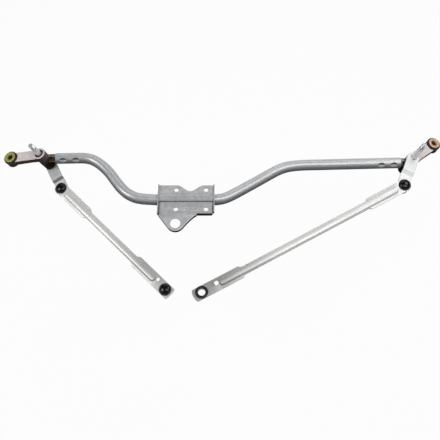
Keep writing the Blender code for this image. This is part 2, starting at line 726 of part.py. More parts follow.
def make_pivot_housing(pivot, collection):
    """Die-cast housing: barrel, arm with an eye, and spigot in one piece."""
    frame = pivot.frame(pivot.arm_heading)
    eye_frame = pivot.eye_frame
    body = turned("barrel", barrel_profile(pivot), frame)
    body = combine(body, arm_plates(pivot) + spigot_parts(pivot), "UNION")
    bush_room = BUSH_RADIUS + 2 * SEAT_GAP
    half = EYE_THICKNESS / 2
    rooms = [rod_solid("room_above", bush_room, half - SEAT_GAP, ARM_THICKNESS, eye_frame, ROUND_STEPS),
             rod_solid("room_below", bush_room, -ARM_THICKNESS, SEAT_GAP - half, eye_frame, ROUND_STEPS)]
    body = combine(body, rooms, "DIFFERENCE")
    body = combine(body, [rod_solid("eye", EYE_RADIUS, -half, half, eye_frame, ROUND_STEPS)], "UNION")
    drills = [turned("bore", bore_profile(pivot), frame),
              rod_solid("eye_hole", BUSH_GROOVE_RADIUS + SEAT_GAP, -EYE_THICKNESS, EYE_THICKNESS, eye_frame,
                        ROUND_STEPS)]
    housing = combine(body, drills, "DIFFERENCE")
    finish(housing, f"{pivot.side}_pivot_housing", "cast_aluminium", collection)


def make_rubber_bush(pivot, collection):
    """Grommet in the arm's eye: two rounded flanges with a groove between them."""
    half = EYE_THICKNESS / 2 - SEAT_GAP
    top = EYE_THICKNESS / 2 + SEAT_GAP + BUSH_FLANGE
    seat = EYE_THICKNESS / 2 + SEAT_GAP
    inner = SLEEVE_RADIUS + SEAT_GAP
    corner = BUSH_RADIUS - BUSH_ROUND
    upper = arc((corner, top - BUSH_ROUND), BUSH_ROUND, 90.0, 0.0)
    lower = arc((corner, -top + BUSH_ROUND), BUSH_ROUND, 0.0, -90.0)
    groove = [(BUSH_RADIUS, seat), (BUSH_GROOVE_RADIUS, seat), (BUSH_GROOVE_RADIUS, half),
              (BUSH_GROOVE_RADIUS, -half), (BUSH_GROOVE_RADIUS, -seat), (BUSH_RADIUS, -seat)]
    profile = [(inner, top)] + upper + groove + lower + [(inner, -top)]
    bush = turned("bush", profile, pivot.eye_frame, ROUND_STEPS)
    finish(bush, f"{pivot.side}_rubber_bush", "black_rubber", collection)


def make_spacer_sleeve(pivot, material, collection):
    """Flanged steel sleeve through the bush, dished round the bolt hole."""
    bottom = -(EYE_THICKNESS / 2 + SEAT_GAP + BUSH_FLANGE) - 2 * SEAT_GAP
    under = -bottom - SEAT_GAP
    top = under + SLEEVE_FLANGE_THICKNESS
    dish = top - SLEEVE_DISH_DEPTH
    profile = [(SLEEVE_DISH_RADIUS, top), (SLEEVE_FLANGE_RADIUS - SLEEVE_EDGE, top),
               (SLEEVE_FLANGE_RADIUS, top - SLEEVE_EDGE), (SLEEVE_FLANGE_RADIUS, under),
               (SLEEVE_RADIUS, under), (SLEEVE_RADIUS, bottom), (SLEEVE_BORE_RADIUS, bottom),
               (SLEEVE_BORE_RADIUS, dish), (SLEEVE_DISH_RADIUS - SLEEVE_DISH_SLOPE, dish)]
    sleeve = turned("sleeve", profile, pivot.eye_frame, ROUND_STEPS)
    finish(sleeve, f"{pivot.side}_spacer_sleeve", material, collection)


def tip_profile(pivot):
    """Wiper-arm end of the spindle: threaded end, undercut and knurled cone."""
    tip = pivot.spindle_tip
    thread_end = tip - THREAD_LENGTH
    cone_top = thread_end - UNDERCUT_LENGTH
    return [(0.0, tip), (THREAD_RADIUS - THREAD_CHAMFER, tip), (THREAD_RADIUS, tip - THREAD_CHAMFER),
            (THREAD_RADIUS, thread_end), (UNDERCUT_RADIUS, thread_end), (UNDERCUT_RADIUS, cone_top),
            (SPINDLE_RADIUS - CONE_DROP, cone_top), (SPINDLE_RADIUS, cone_top - CONE_LENGTH)]


def circlip_depths():
    """Depths in the recess at which the circlip's two faces lie."""
    section = (RECESS_RADIUS - SPINDLE_RADIUS) / 2 - SEAT_GAP
    deep = RECESS_DEPTH - 2 * SEAT_GAP - 2 * section - WASHER_THICKNESS - SEAT_GAP
    return deep - CIRCLIP_THICKNESS, deep


def groove_profile(pivot):
    """Groove in the spindle for the circlip."""
    shallow, deep = circlip_depths()
    floor = SPINDLE_RADIUS - CIRCLIP_BITE - SEAT_GAP
    near = pivot.inside_recess(shallow - SEAT_GAP)
    far = pivot.inside_recess(deep + SEAT_GAP)
    groove = [(SPINDLE_RADIUS, near), (floor, near), (floor, far), (SPINDLE_RADIUS, far)]
    return groove if near > far else groove[::-1]


def make_spindle(pivot, collection):
    """Shaft that carries the wiper arm at its tip and the crank at its other seat."""
    far_face = pivot.beyond_crank_face(THRUST_WASHER_THICKNESS + 3 * SEAT_GAP + CRANK_THICKNESS)
    if pivot.crank_side < 0:
        journal = SPINDLE_RADIUS - JOURNAL_STEP
        shoulder = pivot.beyond_crank_face(THRUST_WASHER_THICKNESS + SEAT_GAP)
        stake_end = far_face - STAKE_THICKNESS
        profile = tip_profile(pivot) + groove_profile(pivot)
        profile += [(SPINDLE_RADIUS, shoulder), (journal, shoulder), (journal, far_face),
                    (STAKE_RADIUS, far_face), (STAKE_RADIUS, stake_end + THREAD_CHAMFER),
                    (STAKE_RADIUS - THREAD_CHAMFER, stake_end), (0.0, stake_end)]
    else:
        foot = pivot.inside_recess(SEAT_GAP)
        collar_top = far_face + STAKE_THICKNESS
        profile = tip_profile(pivot)
        profile += [(SPINDLE_RADIUS, collar_top), (STAKE_RADIUS - THREAD_CHAMFER, collar_top),
                    (STAKE_RADIUS, collar_top - THREAD_CHAMFER), (STAKE_RADIUS, far_face),
                    (SPINDLE_RADIUS, far_face)]
        profile += groove_profile(pivot)
        profile += [(SPINDLE_RADIUS, foot), (0.0, foot)]
    spindle = turned("spindle", profile, pivot.crank_frame)
    finish(spindle, f"{pivot.side}_spindle", "spindle_steel", collection)


def make_bearings_and_seals(pivot, collection):
    """Two bearing bushes, the seal, its washer, the circlip and the thrust washer."""
    frame = pivot.crank_frame
    inner = SPINDLE_RADIUS + RUNNING_GAP
    outer = inner + BEARING_WALL
    places = {
        "recess_bearing": pivot.inside_recess(RECESS_DEPTH + SEAT_GAP + BEARING_LENGTH / 2),
        "crank_bearing": pivot.beyond_crank_face(-SEAT_GAP - BEARING_LENGTH / 2),
    }
    for name, middle in places.items():
        bearing = ring(name, inner, outer, middle - BEARING_LENGTH / 2, middle + BEARING_LENGTH / 2, frame)
        finish(bearing, f"{pivot.side}_{name}", "sintered_bronze", collection)
    section = (RECESS_RADIUS - SPINDLE_RADIUS) / 2 - SEAT_GAP
    seal_height = pivot.inside_recess(RECESS_DEPTH - SEAT_GAP - section)
    seal_centre = ((RECESS_RADIUS + SPINDLE_RADIUS) / 2, seal_height)
    seal = turned("seal", arc(seal_centre, section, 0.0, 315.0, COARSE_ARC_STEP), frame, ROUND_STEPS)
    finish(seal, f"{pivot.side}_shaft_seal", "black_rubber", collection)
    shallow, deep = circlip_depths()
    near = deep + SEAT_GAP
    low, high = sorted((pivot.inside_recess(near), pivot.inside_recess(near + WASHER_THICKNESS)))
    washer = ring("washer", SPINDLE_RADIUS + SEAT_GAP, RECESS_RADIUS - SEAT_GAP, low, high, frame,
                  ROUND_STEPS)
    finish(washer, f"{pivot.side}_seal_washer", "bright_steel", collection)
    low, high = sorted((pivot.inside_recess(shallow), pivot.inside_recess(deep)))
    clip_inner = SPINDLE_RADIUS - CIRCLIP_BITE
    circlip = ring("circlip", clip_inner, clip_inner + CIRCLIP_WIDTH, low, high, frame, ROUND_STEPS)
    notch = box("notch", (0.0, -CIRCLIP_OPENING / 2, low - CUT_MARGIN),
                (RECESS_RADIUS, CIRCLIP_OPENING / 2, high + CUT_MARGIN), frame)
    circlip = combine(circlip, [notch], "DIFFERENCE")
    finish(circlip, f"{pivot.side}_circlip", "spindle_steel", collection)
    faces = (pivot.beyond_crank_face(SEAT_GAP), pivot.beyond_crank_face(SEAT_GAP + THRUST_WASHER_THICKNESS))
    thrust = ring("thrust", SPINDLE_RADIUS + SEAT_GAP, THRUST_WASHER_RADIUS, min(faces), max(faces), frame,
                  ROUND_STEPS)
    finish(thrust, f"{pivot.side}_thrust_washer", "bright_steel", collection)


def make_crank(pivot, collection):
    """Forged lever, stepped back between its hub and its ball end."""
    frame = pivot.crank_frame
    start = -CRANK_HUB_RADIUS - CUT_MARGIN
    end = pivot.crank_length + CRANK_TIP_RADIUS + CUT_MARGIN
    step_end = CRANK_STEP_START + CRANK_STEP_RUN
    bend = CRANK_THICKNESS * math.tan(math.atan2(CRANK_STEP, CRANK_STEP_RUN) / 2)
    front = pivot.hub_front
    low = front - CRANK_STEP
    side = [(start, front), (CRANK_STEP_START, front), (step_end, low), (end, low),
            (end, low - CRANK_THICKNESS), (step_end - bend, low - CRANK_THICKNESS),
            (CRANK_STEP_START - bend, front - CRANK_THICKNESS), (start, front - CRANK_THICKNESS)]
    width = CRANK_HUB_RADIUS + CUT_MARGIN
    lever = extruded("lever", [side], -width, width, side_on(frame))
    plan = extruded("plan", [capsule(CRANK_HUB_RADIUS, CRANK_TIP_RADIUS, pivot.crank_length)],
                    low - 2 * CRANK_THICKNESS, front + CRANK_THICKNESS, frame)
    lever = combine(lever, [plan], "INTERSECT")
    hub_hole = SPINDLE_RADIUS + SEAT_GAP - (JOURNAL_STEP if pivot.crank_side < 0 else 0.0)
    drills = [rod_solid("hub_hole", hub_hole, front - 2 * CRANK_THICKNESS, front + CRANK_THICKNESS, frame),
              rod_solid("stud_hole", STUD_SHANK_RADIUS + SEAT_GAP, -2 * CRANK_THICKNESS, CRANK_THICKNESS,
                        pivot.stud_frame, ROUND_STEPS)]
    finish(combine(lever, drills, "DIFFERENCE"), f"{pivot.side}_crank", "bright_steel", collection)


def make_ball_stud(pivot, collection):
    """Ball pin riveted through the crank."""
    under = -CRANK_THICKNESS - SEAT_GAP
    rivet_end = under - STUD_RIVET_THICKNESS
    collar_top = SEAT_GAP + STUD_COLLAR_THICKNESS
    neck_angle = math.degrees(math.acos(STUD_NECK_RADIUS / BALL_RADIUS))
    ball = arc((0.0, BALL_HEIGHT), BALL_RADIUS, 90.0, -neck_angle)
    ball[0] = (0.0, BALL_HEIGHT + BALL_RADIUS)
    profile = ball + [(STUD_NECK_RADIUS, collar_top), (STUD_COLLAR_RADIUS, collar_top),
                      (STUD_COLLAR_RADIUS, SEAT_GAP), (STUD_SHANK_RADIUS, SEAT_GAP),
                      (STUD_SHANK_RADIUS, under), (STUD_RIVET_RADIUS, under),
                      (STUD_RIVET_RADIUS - STUD_RIVET_BEVEL, rivet_end), (0.0, rivet_end)]
    stud = turned("stud", profile, pivot.stud_frame, ROUND_STEPS)
    finish(stud, f"{pivot.side}_ball_stud", "bright_steel", collection)
    seal = ring("dust_seal", STUD_COLLAR_RADIUS + SEAT_GAP, DUST_SEAL_RADIUS, SEAT_GAP,
                SEAT_GAP + DUST_SEAL_THICKNESS, pivot.stud_frame, ROUND_STEPS)
    finish(seal, f"{pivot.side}_dust_seal", "black_rubber", collection)


def socket_outside():
    """Outer side of a socket below its cap: neck in the rod's eye, and a skirt."""
    grip = ROD_SHEET / 2 + SEAT_GAP
    return [(SOCKET_RADIUS, grip), (SOCKET_NECK_RADIUS, grip), (SOCKET_NECK_RADIUS, -grip),
            (SOCKET_SKIRT_RADIUS, -grip), (SOCKET_SKIRT_RADIUS, -SOCKET_SKIRT_DEPTH)]


def dome_socket(name, frame, collection):
    """Closed plastic cap that snaps over a ball from below."""
    grip = ROD_SHEET / 2 + SEAT_GAP
    dome = [(SOCKET_RADIUS * math.sin(a), grip + SOCKET_DOME_HEIGHT * math.cos(a))
            for a in (math.radians(90.0 * i / 8) for i in range(8))]
    dome[0] = (0.0, grip + SOCKET_DOME_HEIGHT)
    cavity = BALL_RADIUS + SEAT_GAP
    lip_angle = math.degrees(math.acos(SOCKET_MOUTH_RADIUS / cavity))
    inside = arc((0.0, 0.0), cavity, -lip_angle, 90.0)
    inside[-1] = (0.0, cavity)
    mouth = [(SOCKET_MOUTH_RADIUS + SOCKET_MOUTH_BEVEL, -SOCKET_SKIRT_DEPTH)]
    socket = turned("socket", dome + socket_outside() + mouth + inside, frame, ROUND_STEPS)
    finish(socket, name, "black_plastic", collection)


def ring_socket(name, frame, collection):
    """Open plastic ring whose ball is entered from either side."""
    top = RING_SOCKET_HEIGHT
    rim = [(RING_SOCKET_BORE_RADIUS, top), (SOCKET_RADIUS - SOCKET_EDGE, top),
           (SOCKET_RADIUS, top - SOCKET_EDGE)]
    profile = rim + socket_outside() + [(RING_SOCKET_BORE_RADIUS, -SOCKET_SKIRT_DEPTH)]
    finish(turned("ring", profile, frame, ROUND_STEPS), name, "black_plastic", collection)


def rod_outline(pivot):
    """Strip seen from above: round head, wide shoulders, narrow waist and a squarer tip."""
    length = pivot.rod_length
    wide = ROD_EYE_HALF_WIDTH
    narrow = ROD_WAIST_HALF_WIDTH
    head_lean = math.degrees(math.acos(wide / ROD_HEAD_RADIUS))
    head = arc((0.0, 0.0), ROD_HEAD_RADIUS, 90.0 - head_lean, 270.0 + head_lean)
    waist = (ROD_WAIST_START, ROD_WAIST_START + ROD_SHOULDER)
    flare = (length - ROD_WAIST_END_FROM_TIP - ROD_SHOULDER, length - ROD_WAIST_END_FROM_TIP)
    corner = length + pivot.rod_end_reach - pivot.rod_end_bulge
    lower = [(waist[0], -wide), (waist[1], -narrow), (flare[0], -narrow), (flare[1], -wide), (corner, -wide)]
    upper = [(x, -y) for x, y in lower[::-1]]
    end = [(corner + pivot.rod_end_bulge * math.cos(math.radians(a)), wide * math.sin(math.radians(a)))
           for a in (-60.0, -30.0, 0.0, 30.0, 60.0)]
    return head + lower + end + upper


def rib_outline(pivot, inset):
    """Round-ended outline of the rod's rib, from behind its head to the drain hole."""
    half_width = ROD_RIB_HALF_WIDTH - inset
    start = ROD_RIB_START + ROD_RIB_HALF_WIDTH
    hole_side = pivot.rod_length - pivot.drain_hole_from_tip - pivot.drain_hole_radius
    end = hole_side - ROD_RIB_TO_HOLE - ROD_RIB_HALF_WIDTH
    return (arc((end, 0.0), half_width, -90.0, 90.0) + arc((start, 0.0), half_width, 90.0, 270.0))


def make_rod(pivot, collection):
    """Push rod: a strip with two eyes and a rib pressed up between them."""
    frame = pivot.rod_frame
    half = ROD_SHEET / 2
    strip = extruded("strip", [rod_outline(pivot)], -half, half, frame)
    crest = half + ROD_RIB_HEIGHT
    rib = extruded("rib", [rib_outline(pivot, 0.0)], -half / 2, crest, frame)
    hollow = extruded("hollow", [rib_outline(pivot, ROD_SHEET)], -half - CUT_MARGIN, crest - ROD_SHEET, frame)
    rod = combine(strip, [rib], "UNION")
    tools = [hollow]
    for x in (0.0, pivot.rod_length):
        tools.append(rod_solid("eye", SOCKET_NECK_RADIUS + SEAT_GAP, -CUT_MARGIN, CUT_MARGIN,
                               frame @ Matrix.Translation((x, 0.0, 0.0)), ROUND_STEPS))
    drain = Matrix.Translation((pivot.rod_length - pivot.drain_hole_from_tip, pivot.drain_hole_offset, 0.0))
    tools.append(rod_solid("drain", pivot.drain_hole_radius, -CUT_MARGIN, CUT_MARGIN, frame @ drain,
                           ROUND_STEPS))
    finish(combine(rod, tools, "DIFFERENCE"), f"{pivot.side}_link_rod", "bright_steel", collection)


def main():
    clear_scene()
    make_materials()
    parts = bpy.data.collections.new("wiper_linkage")
    bpy.context.scene.collection.children.link(parts)
    make_frame_tube(parts)
    make_motor_bracket(parts)
    for pivot, sleeve_finish in ((LEFT, "yellow_zinc"), (RIGHT, "copper_zinc")):
        make_pivot_housing(pivot, parts)
        make_rubber_bush(pivot, parts)
        make_spacer_sleeve(pivot, sleeve_finish, parts)
        make_spindle(pivot, parts)
        make_bearings_and_seals(pivot, parts)
        make_crank(pivot, parts)
        make_ball_stud(pivot, parts)
        make_rod(pivot, parts)
        dome_socket(f"{pivot.side}_crank_socket", pivot.rod_frame, parts)
    tip = Matrix.Translation((LEFT.rod_length, 0.0, 0.0))
    dome_socket("left_motor_socket", LEFT.rod_frame @ tip, parts)
    tip = Matrix.Translation((RIGHT.rod_length, 0.0, 0.0))
    ring_socket("right_motor_socket", RIGHT.rod_frame @ tip, parts)


main()
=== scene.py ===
"""Looks of a wiper linkage: crimped tube, pressed bracket, cast pivots, cranks and ribbed rods."""
import json
import math
from types import SimpleNamespace

import bmesh
import bpy
import numpy as np
from mathutils import Matrix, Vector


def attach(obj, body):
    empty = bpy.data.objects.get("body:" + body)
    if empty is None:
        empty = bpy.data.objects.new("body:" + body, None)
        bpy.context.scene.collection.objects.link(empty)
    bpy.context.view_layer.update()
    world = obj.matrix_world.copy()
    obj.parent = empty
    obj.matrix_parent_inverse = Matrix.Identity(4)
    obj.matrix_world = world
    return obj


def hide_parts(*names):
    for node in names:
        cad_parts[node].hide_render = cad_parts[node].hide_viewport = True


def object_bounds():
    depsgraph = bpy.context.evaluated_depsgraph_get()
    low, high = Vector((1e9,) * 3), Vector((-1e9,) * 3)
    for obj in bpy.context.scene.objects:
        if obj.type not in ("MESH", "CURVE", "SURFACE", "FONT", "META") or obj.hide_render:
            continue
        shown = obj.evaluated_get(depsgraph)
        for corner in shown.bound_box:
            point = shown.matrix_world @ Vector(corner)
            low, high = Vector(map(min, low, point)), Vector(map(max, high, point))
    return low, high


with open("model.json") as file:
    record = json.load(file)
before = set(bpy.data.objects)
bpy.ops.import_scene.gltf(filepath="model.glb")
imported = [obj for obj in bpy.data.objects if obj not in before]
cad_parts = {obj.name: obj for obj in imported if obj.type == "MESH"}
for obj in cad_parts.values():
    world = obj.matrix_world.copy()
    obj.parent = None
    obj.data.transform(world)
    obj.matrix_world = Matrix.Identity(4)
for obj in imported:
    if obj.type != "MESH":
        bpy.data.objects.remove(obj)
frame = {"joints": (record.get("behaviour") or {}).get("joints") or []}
CAD_BOX = [list(corner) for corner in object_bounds()]
JOINTS = {joint["name"]: joint for joint in frame["joints"]}
WELD = 2e-6
TURN_STEPS = 72
SMOOTH_ANGLE = math.radians(38)

# Tube and its route, as in the part
TUBE_RADIUS = 0.011
TUBE_INNER = 0.0095
TUBE_SEAT_Y = 0.0215
BRACKET_LEFT = -0.0635
BRACKET_RIGHT = 0.0440
TUBE_ROUTE = ((-0.2796, 0.1202), (-0.2536, 0.12065), (-0.2276, 0.1211), (-0.2155, 0.1200),
              (-0.2015, 0.1152), (-0.1865, 0.1047), (-0.1690, 0.0870), (-0.1530, 0.0650),
              (-0.1390, 0.0468), (-0.1238, 0.0332), (-0.1045, 0.0248), (-0.0695, 0.0215),
              (-0.0635, 0.0215), (0.0440, 0.0215), (0.0500, 0.0215), (0.0650, 0.0247),
              (0.0808, 0.0324), (0.1172, 0.0551), (0.1480, 0.0750), (0.1687, 0.0882),
              (0.1800, 0.0943), (0.1935, 0.0992), (0.2100, 0.1022), (0.2326, 0.1039),
              (0.2647, 0.1048), (0.2968, 0.1058), (0.3289, 0.1067), (0.3609, 0.1077),
              (0.3930, 0.1086), (0.4251, 0.1096))
TUBE_STATIONS = 22
TUBE_SIDES = 112
TUBE_SPACING = 0.0028
CRIMPED_LENGTH = 0.055
CRIMPED_STATIONS = 90
RIM_DEPTH = 0.006
RIM_EDGE = 0.0004
# Crimps: places along the tube from its end, and the angles from +Z toward the viewer's side at which
# each begins and ends
LEFT_CRIMPS = (0.0158, 0.0420)
RIGHT_CRIMPS = (0.0149, 0.0400)
CRIMP_ANGLES = ((27.0, 84.0), (-94.0, -50.0), (150.0, 202.0))
CRIMP_DEPTH = 0.0030
CRIMP_HALF_LENGTH = 0.0072
CRIMP_STEP = 0.30
# Share of painted shade on the tube's underside
UNDERSIDE_SHADE = 0.75
# Angles at which the underside's painted shade begins and ends, each with the width it takes to do so
UNDERSIDE = ((38.0, 26.0), (262.0, 40.0))

# Pivots, heights measured along the spindle from the tube's plane
SPINDLE_RADIUS = 0.0055
BARREL_RADIUS = 0.0125
RECESS_RADIUS = 0.0088
RECESS_DEPTH = 0.007
THRUST_THICKNESS = 0.0014
CRANK_THICKNESS = 0.0045
CRANK_STEP = 0.0080
CRANK_HUB = 0.0120
CRANK_TIP = 0.0118
SEAT_GAP = 0.0003
BALL_HEIGHT = 0.0100
BALL_RADIUS = 0.0065
ARM_THICKNESS = 0.013
EYE_RADIUS = 0.0132
EYE_THICKNESS = 0.0070
BUSH_RADIUS = 0.0143
BUSH_GROOVE = 0.0102
BUSH_FLANGE = 0.0048
SLEEVE_RADIUS = 0.0072
SLEEVE_FLANGE = 0.0114
SHEET = 0.002
WASHER_THICKNESS = 0.0010
THRUST_RADIUS = 0.0095
CLIP_THICKNESS = 0.0012
CLIP_INNER = 0.0052
CLIP_OUTER = 0.0074
CLIP_HALF_GAP = 24.0
BEARING_PLAY = 0.00008
BEARING_WALL = 0.0019
BEARING_LENGTH = 0.012

PIVOTS = {
    "left": SimpleNamespace(crank_side=-1, front=0.0270, back=-0.0230, reach=0.0340, arm_height=0.0180,
                            arm_heading=178.7, arm_length=0.0643, crank_heading=-63.5,
                            crank_length=0.0662, tube_end=(-0.2796, 0.1202), tube_heading=1.0,
                            rod_length=0.3148, end_bulge=0.0020, end_reach=0.0150),
    "right": SimpleNamespace(crank_side=1, front=0.0183, back=-0.0257, reach=0.0540, arm_height=0.0110,
                             arm_heading=39.6, arm_length=0.0682, crank_heading=-112.9,
                             crank_length=0.0742, tube_end=(0.4251, 0.1096), tube_heading=181.7,
                             rod_length=0.4501, end_bulge=0.0050, end_reach=0.0175),
}


# ---- frames and meshes

def unit(vectors):
    """Vectors, along the last axis, divided by their lengths."""
    vectors = np.asarray(vectors, float)
    return vectors / np.linalg.norm(vectors, axis=-1, keepdims=True)


def axes(origin, z_axis, x_axis):
    """Four by four frame with the given Z, and X turned square to it."""
    z_axis = unit(z_axis)
    x_axis = np.asarray(x_axis, float)
    x_axis = unit(x_axis - z_axis * (x_axis @ z_axis))
    matrix = np.eye(4)
    matrix[:3, :3] = np.stack([x_axis, np.cross(z_axis, x_axis), z_axis], axis=1)
    matrix[:3, 3] = origin
    return matrix


def shifted(matrix, x=0.0, y=0.0, z=0.0):
    """Frame moved along its own axes."""
    moved = matrix.copy()
    moved[:3, 3] += matrix[:3, :3] @ np.array([x, y, z])
    return moved


def placed(points, matrix):
    """Local points in the row frame: turned by the frame and moved to its origin."""
    return points @ matrix[:3, :3].T + matrix[:3, 3]


def compass(pivot, heading, height=0.0):
    """Frame on a spindle with X toward a compass heading, moved up the spindle."""
    joint = JOINTS[pivot.side + "_wiper_spindle"]
    axis = unit(joint["axis"])
    angle = math.radians(heading)
    level = np.array([math.cos(angle), math.sin(angle), 0.0])
    level[2] = -(level @ axis) / axis[2]
    return shifted(axes(joint["pos_m"], axis, level), z=height)


for side, pivot in PIVOTS.items():
    pivot.side = side
    pivot.face = pivot.front if pivot.crank_side > 0 else pivot.back
    pivot.recess = pivot.back if pivot.crank_side > 0 else pivot.front
    near = pivot.face + pivot.crank_side * (THRUST_THICKNESS + 2 * SEAT_GAP)
    pivot.hub_front = near + CRANK_THICKNESS if pivot.crank_side > 0 else near
    pivot.tip = pivot.front + pivot.reach
    pivot.spindle_frame = compass(pivot, pivot.crank_heading)
    pivot.stud_frame = shifted(pivot.spindle_frame, x=pivot.crank_length, z=pivot.hub_front - CRANK_STEP)
    pivot.arm_frame = compass(pivot, pivot.arm_heading, pivot.arm_height)
    pivot.eye_frame = shifted(pivot.arm_frame, x=pivot.arm_length)
    swing = JOINTS[side + "_rod_swing"]
    along = {"left": (0.702126, -0.711999, 0.008727), "right": (-0.878113, -0.472815, -0.073238)}[side]
    pivot.rod_frame = axes(swing["pos_m"], swing["axis"], along)
    heading = math.radians(pivot.tube_heading)
    tube_along = np.array([math.cos(heading), math.sin(heading), 0.0])
    pivot.spigot_frame = axes((*pivot.tube_end, 0.0), tube_along, np.cross((0.0, 0.0, 1.0), tube_along))


def link(name, data):
    """New object at the origin that shows a mesh, a lamp or a camera."""
    obj = bpy.data.objects.new(name, data)
    bpy.context.scene.collection.objects.link(obj)
    return obj


def cleaned(mesh):
    """Merge doubled points and point every face outward."""
    form = bmesh.new()
    form.from_mesh(mesh)
    bmesh.ops.remove_doubles(form, verts=form.verts, dist=WELD)
    bmesh.ops.recalc_face_normals(form, faces=form.faces)
    form.to_mesh(mesh)
    form.free()


def surface(name, points, wrap_u=False, wrap_v=False, caps=False, painted_shade=None):
    """Quads between the neighbours of a grid of points, with a UV map in metres along both sides.

    A wrapped side joins its last row to its first, and caps close the first and last rows of u. The last
    argument is a share of painted shade for each point.
    """
    rows, columns = points.shape[:2]
    index = np.arange(rows * columns).reshape(rows, columns)
    along = np.linalg.norm(np.diff(points, axis=0), axis=2).mean(axis=1)
    across = np.linalg.norm(np.diff(points, axis=1), axis=2).max(axis=0)
    u = np.concatenate([[0.0], np.cumsum(along)])
    v = np.concatenate([[0.0], np.cumsum(across)])
    if wrap_u:
        index = np.vstack([index, index[:1]])
        u = np.append(u, u[-1] + along.mean())
    if wrap_v:
        index = np.hstack([index, index[:, :1]])
        v = np.append(v, v[-1] + across.mean())
    quads = np.stack([index[:-1, :-1], index[1:, :-1], index[1:, 1:], index[:-1, 1:]], axis=-1)
    grid = np.stack(np.meshgrid(u, v, indexing="ij"), axis=-1)
    corners = np.stack([grid[:-1, :-1], grid[1:, :-1], grid[1:, 1:], grid[:-1, 1:]], axis=2)
    faces = quads.reshape(-1, 4).tolist()
    texture = corners.reshape(-1, 2)
    if caps:
        for row in (index[0], index[-1]):
            ring = row[:-1] if wrap_v else row
            faces.append(ring.tolist())
            texture = np.vstack([texture, np.tile(grid[0, 0], (len(ring), 1))])
    mesh = bpy.data.meshes.new(name)
    mesh.from_pydata(points.reshape(-1, 3).tolist(), [], faces)
    layer = mesh.uv_layers.new(name="metres")
    layer.data.foreach_set("uv", texture.astype(np.float32).ravel())
    if painted_shade is not None:
        shares = mesh.attributes.new("painted_shade", "FLOAT", "POINT")
        shares.data.foreach_set("value", np.broadcast_to(painted_shade, (rows, columns)).astype(np.float32).ravel())
    cleaned(mesh)
    return link(name, mesh)


def eased(points, reach, steps=4, closed=True):
    """Outline with each corner replaced by a parabola that begins and ends a given reach from it.

    The outline is the last but one axis, so many sections can be eased at once.
    """
    p = np.asarray(points, float)
    back = np.roll(p, 1, axis=-2) - p
    ahead = np.roll(p, -1, axis=-2) - p
    back_length = np.linalg.norm(back, axis=-1, keepdims=True) + 1e-12
    ahead_length = np.linalg.norm(ahead, axis=-1, keepdims=True) + 1e-12
    reach = np.broadcast_to(np.asarray(reach, float)[..., None], back_length.shape)
    start = p + back / back_length * np.minimum(reach, 0.46 * back_length)
    end = p + ahead / ahead_length * np.minimum(reach, 0.46 * ahead_length)
    if not closed:
        start[..., 0, :] = end[..., 0, :] = p[..., 0, :]
        start[..., -1, :] = end[..., -1, :] = p[..., -1, :]
    t = np.linspace(0.0, 1.0, steps + 1)[:, None]
    curve = ((1 - t) ** 2 * start[..., None, :] + 2 * t * (1 - t) * p[..., None, :]
             + t ** 2 * end[..., None, :])
    return curve.reshape(*p.shape[:-2], -1, p.shape[-1])


def hoop(inner, outer, low, high):
    """Profile of a ring between two radii and two heights."""
    return [(inner, high), (outer, high), (outer, low), (inner, low)]


def turned(name, profile, matrix, steps=TURN_STEPS, edge=0.0003, shape=None):
    """Profile of radius and height turned about a frame's Z axis, its corners eased.

    A profile that starts on the axis is a solid of revolution, and any other is a closed ring.
    shape(angle, radius, height) may change the radius.
    """
    profile = np.asarray(profile, float)
    ring = profile[0, 0] > 0
    if edge:
        profile = eased(profile, edge, closed=ring)
    angle = np.linspace(0.0, 2 * math.pi, steps, endpoint=False)[:, None]
    radius = np.broadcast_to(profile[:, 0], (steps, len(profile)))
    height = np.broadcast_to(profile[:, 1], (steps, len(profile)))
    if shape:
        radius = shape(angle, radius, height)
    points = np.stack([radius * np.cos(angle), radius * np.sin(angle), height], axis=-1)
    return surface(name, placed(points, matrix), wrap_u=True, wrap_v=ring)


def outward(outline):
    """Unit normals of a closed outline, pointing out of it."""
    step = np.roll(outline, -1, axis=0) - np.roll(outline, 1, axis=0)
    area = np.sum(outline[:, 0] * np.roll(outline[:, 1], -1) - np.roll(outline[:, 0], -1) * outline[:, 1])
    normal = np.stack([step[:, 1], -step[:, 0]], axis=1) * np.sign(area)
    return normal / (np.linalg.norm(normal, axis=1, keepdims=True) + 1e-12)


def extruded(name, outline, low, high, matrix, edge=0.0):
    """Flat solid from a closed outline: the outline's wall carried up, inset by a quarter round at
    its two ends where an edge is given, and capped."""
    outline = np.asarray(outline, float)
    inset = np.array([0.0, 0.0])
    height = np.array([low, high])
    if edge:
        quarter = np.linspace(0.0, math.pi / 2, 4)
        inset = edge * np.concatenate([1 - np.sin(quarter), 1 - np.cos(quarter)])
        height = np.concatenate([low + edge * (1 - np.cos(quarter)), high - edge * (1 - np.sin(quarter))])
    flat = outline[None] - inset[:, None, None] * outward(outline)[None]
    heights = np.broadcast_to(height[:, None, None], (len(height), len(outline), 1))
    return surface(name, placed(np.concatenate([flat, heights], axis=2), matrix), wrap_v=True, caps=True)


def with_painted_shade(obj, rule):
    """Object whose points carry at least a share of painted shade: a rule of their places and unit normals.
    """
    mesh = obj.data
    places = np.empty(len(mesh.vertices) * 3, np.float32)
    normals = places.copy()
    mesh.vertices.foreach_get("co", places)
    mesh.vertex_normals.foreach_get("vector", normals)
    share = np.clip(rule(places.reshape(-1, 3), normals.reshape(-1, 3)), 0.0, 1.0)
    layer = mesh.attributes.get("painted_shade") or mesh.attributes.new("painted_shade", "FLOAT", "POINT")
    before = np.zeros(len(share), np.float32)
    layer.data.foreach_get("value", before)
    layer.data.foreach_set("value", np.maximum(before, share).astype(np.float32))
    return obj


def arc(centre, radius, start, end, steps=12):
    """Points on an arc between two angles in degrees."""
    angle = np.radians(np.linspace(start, end, steps + 1))
    return np.stack([centre[0] + radius * np.cos(angle), centre[1] + radius * np.sin(angle)], axis=1)


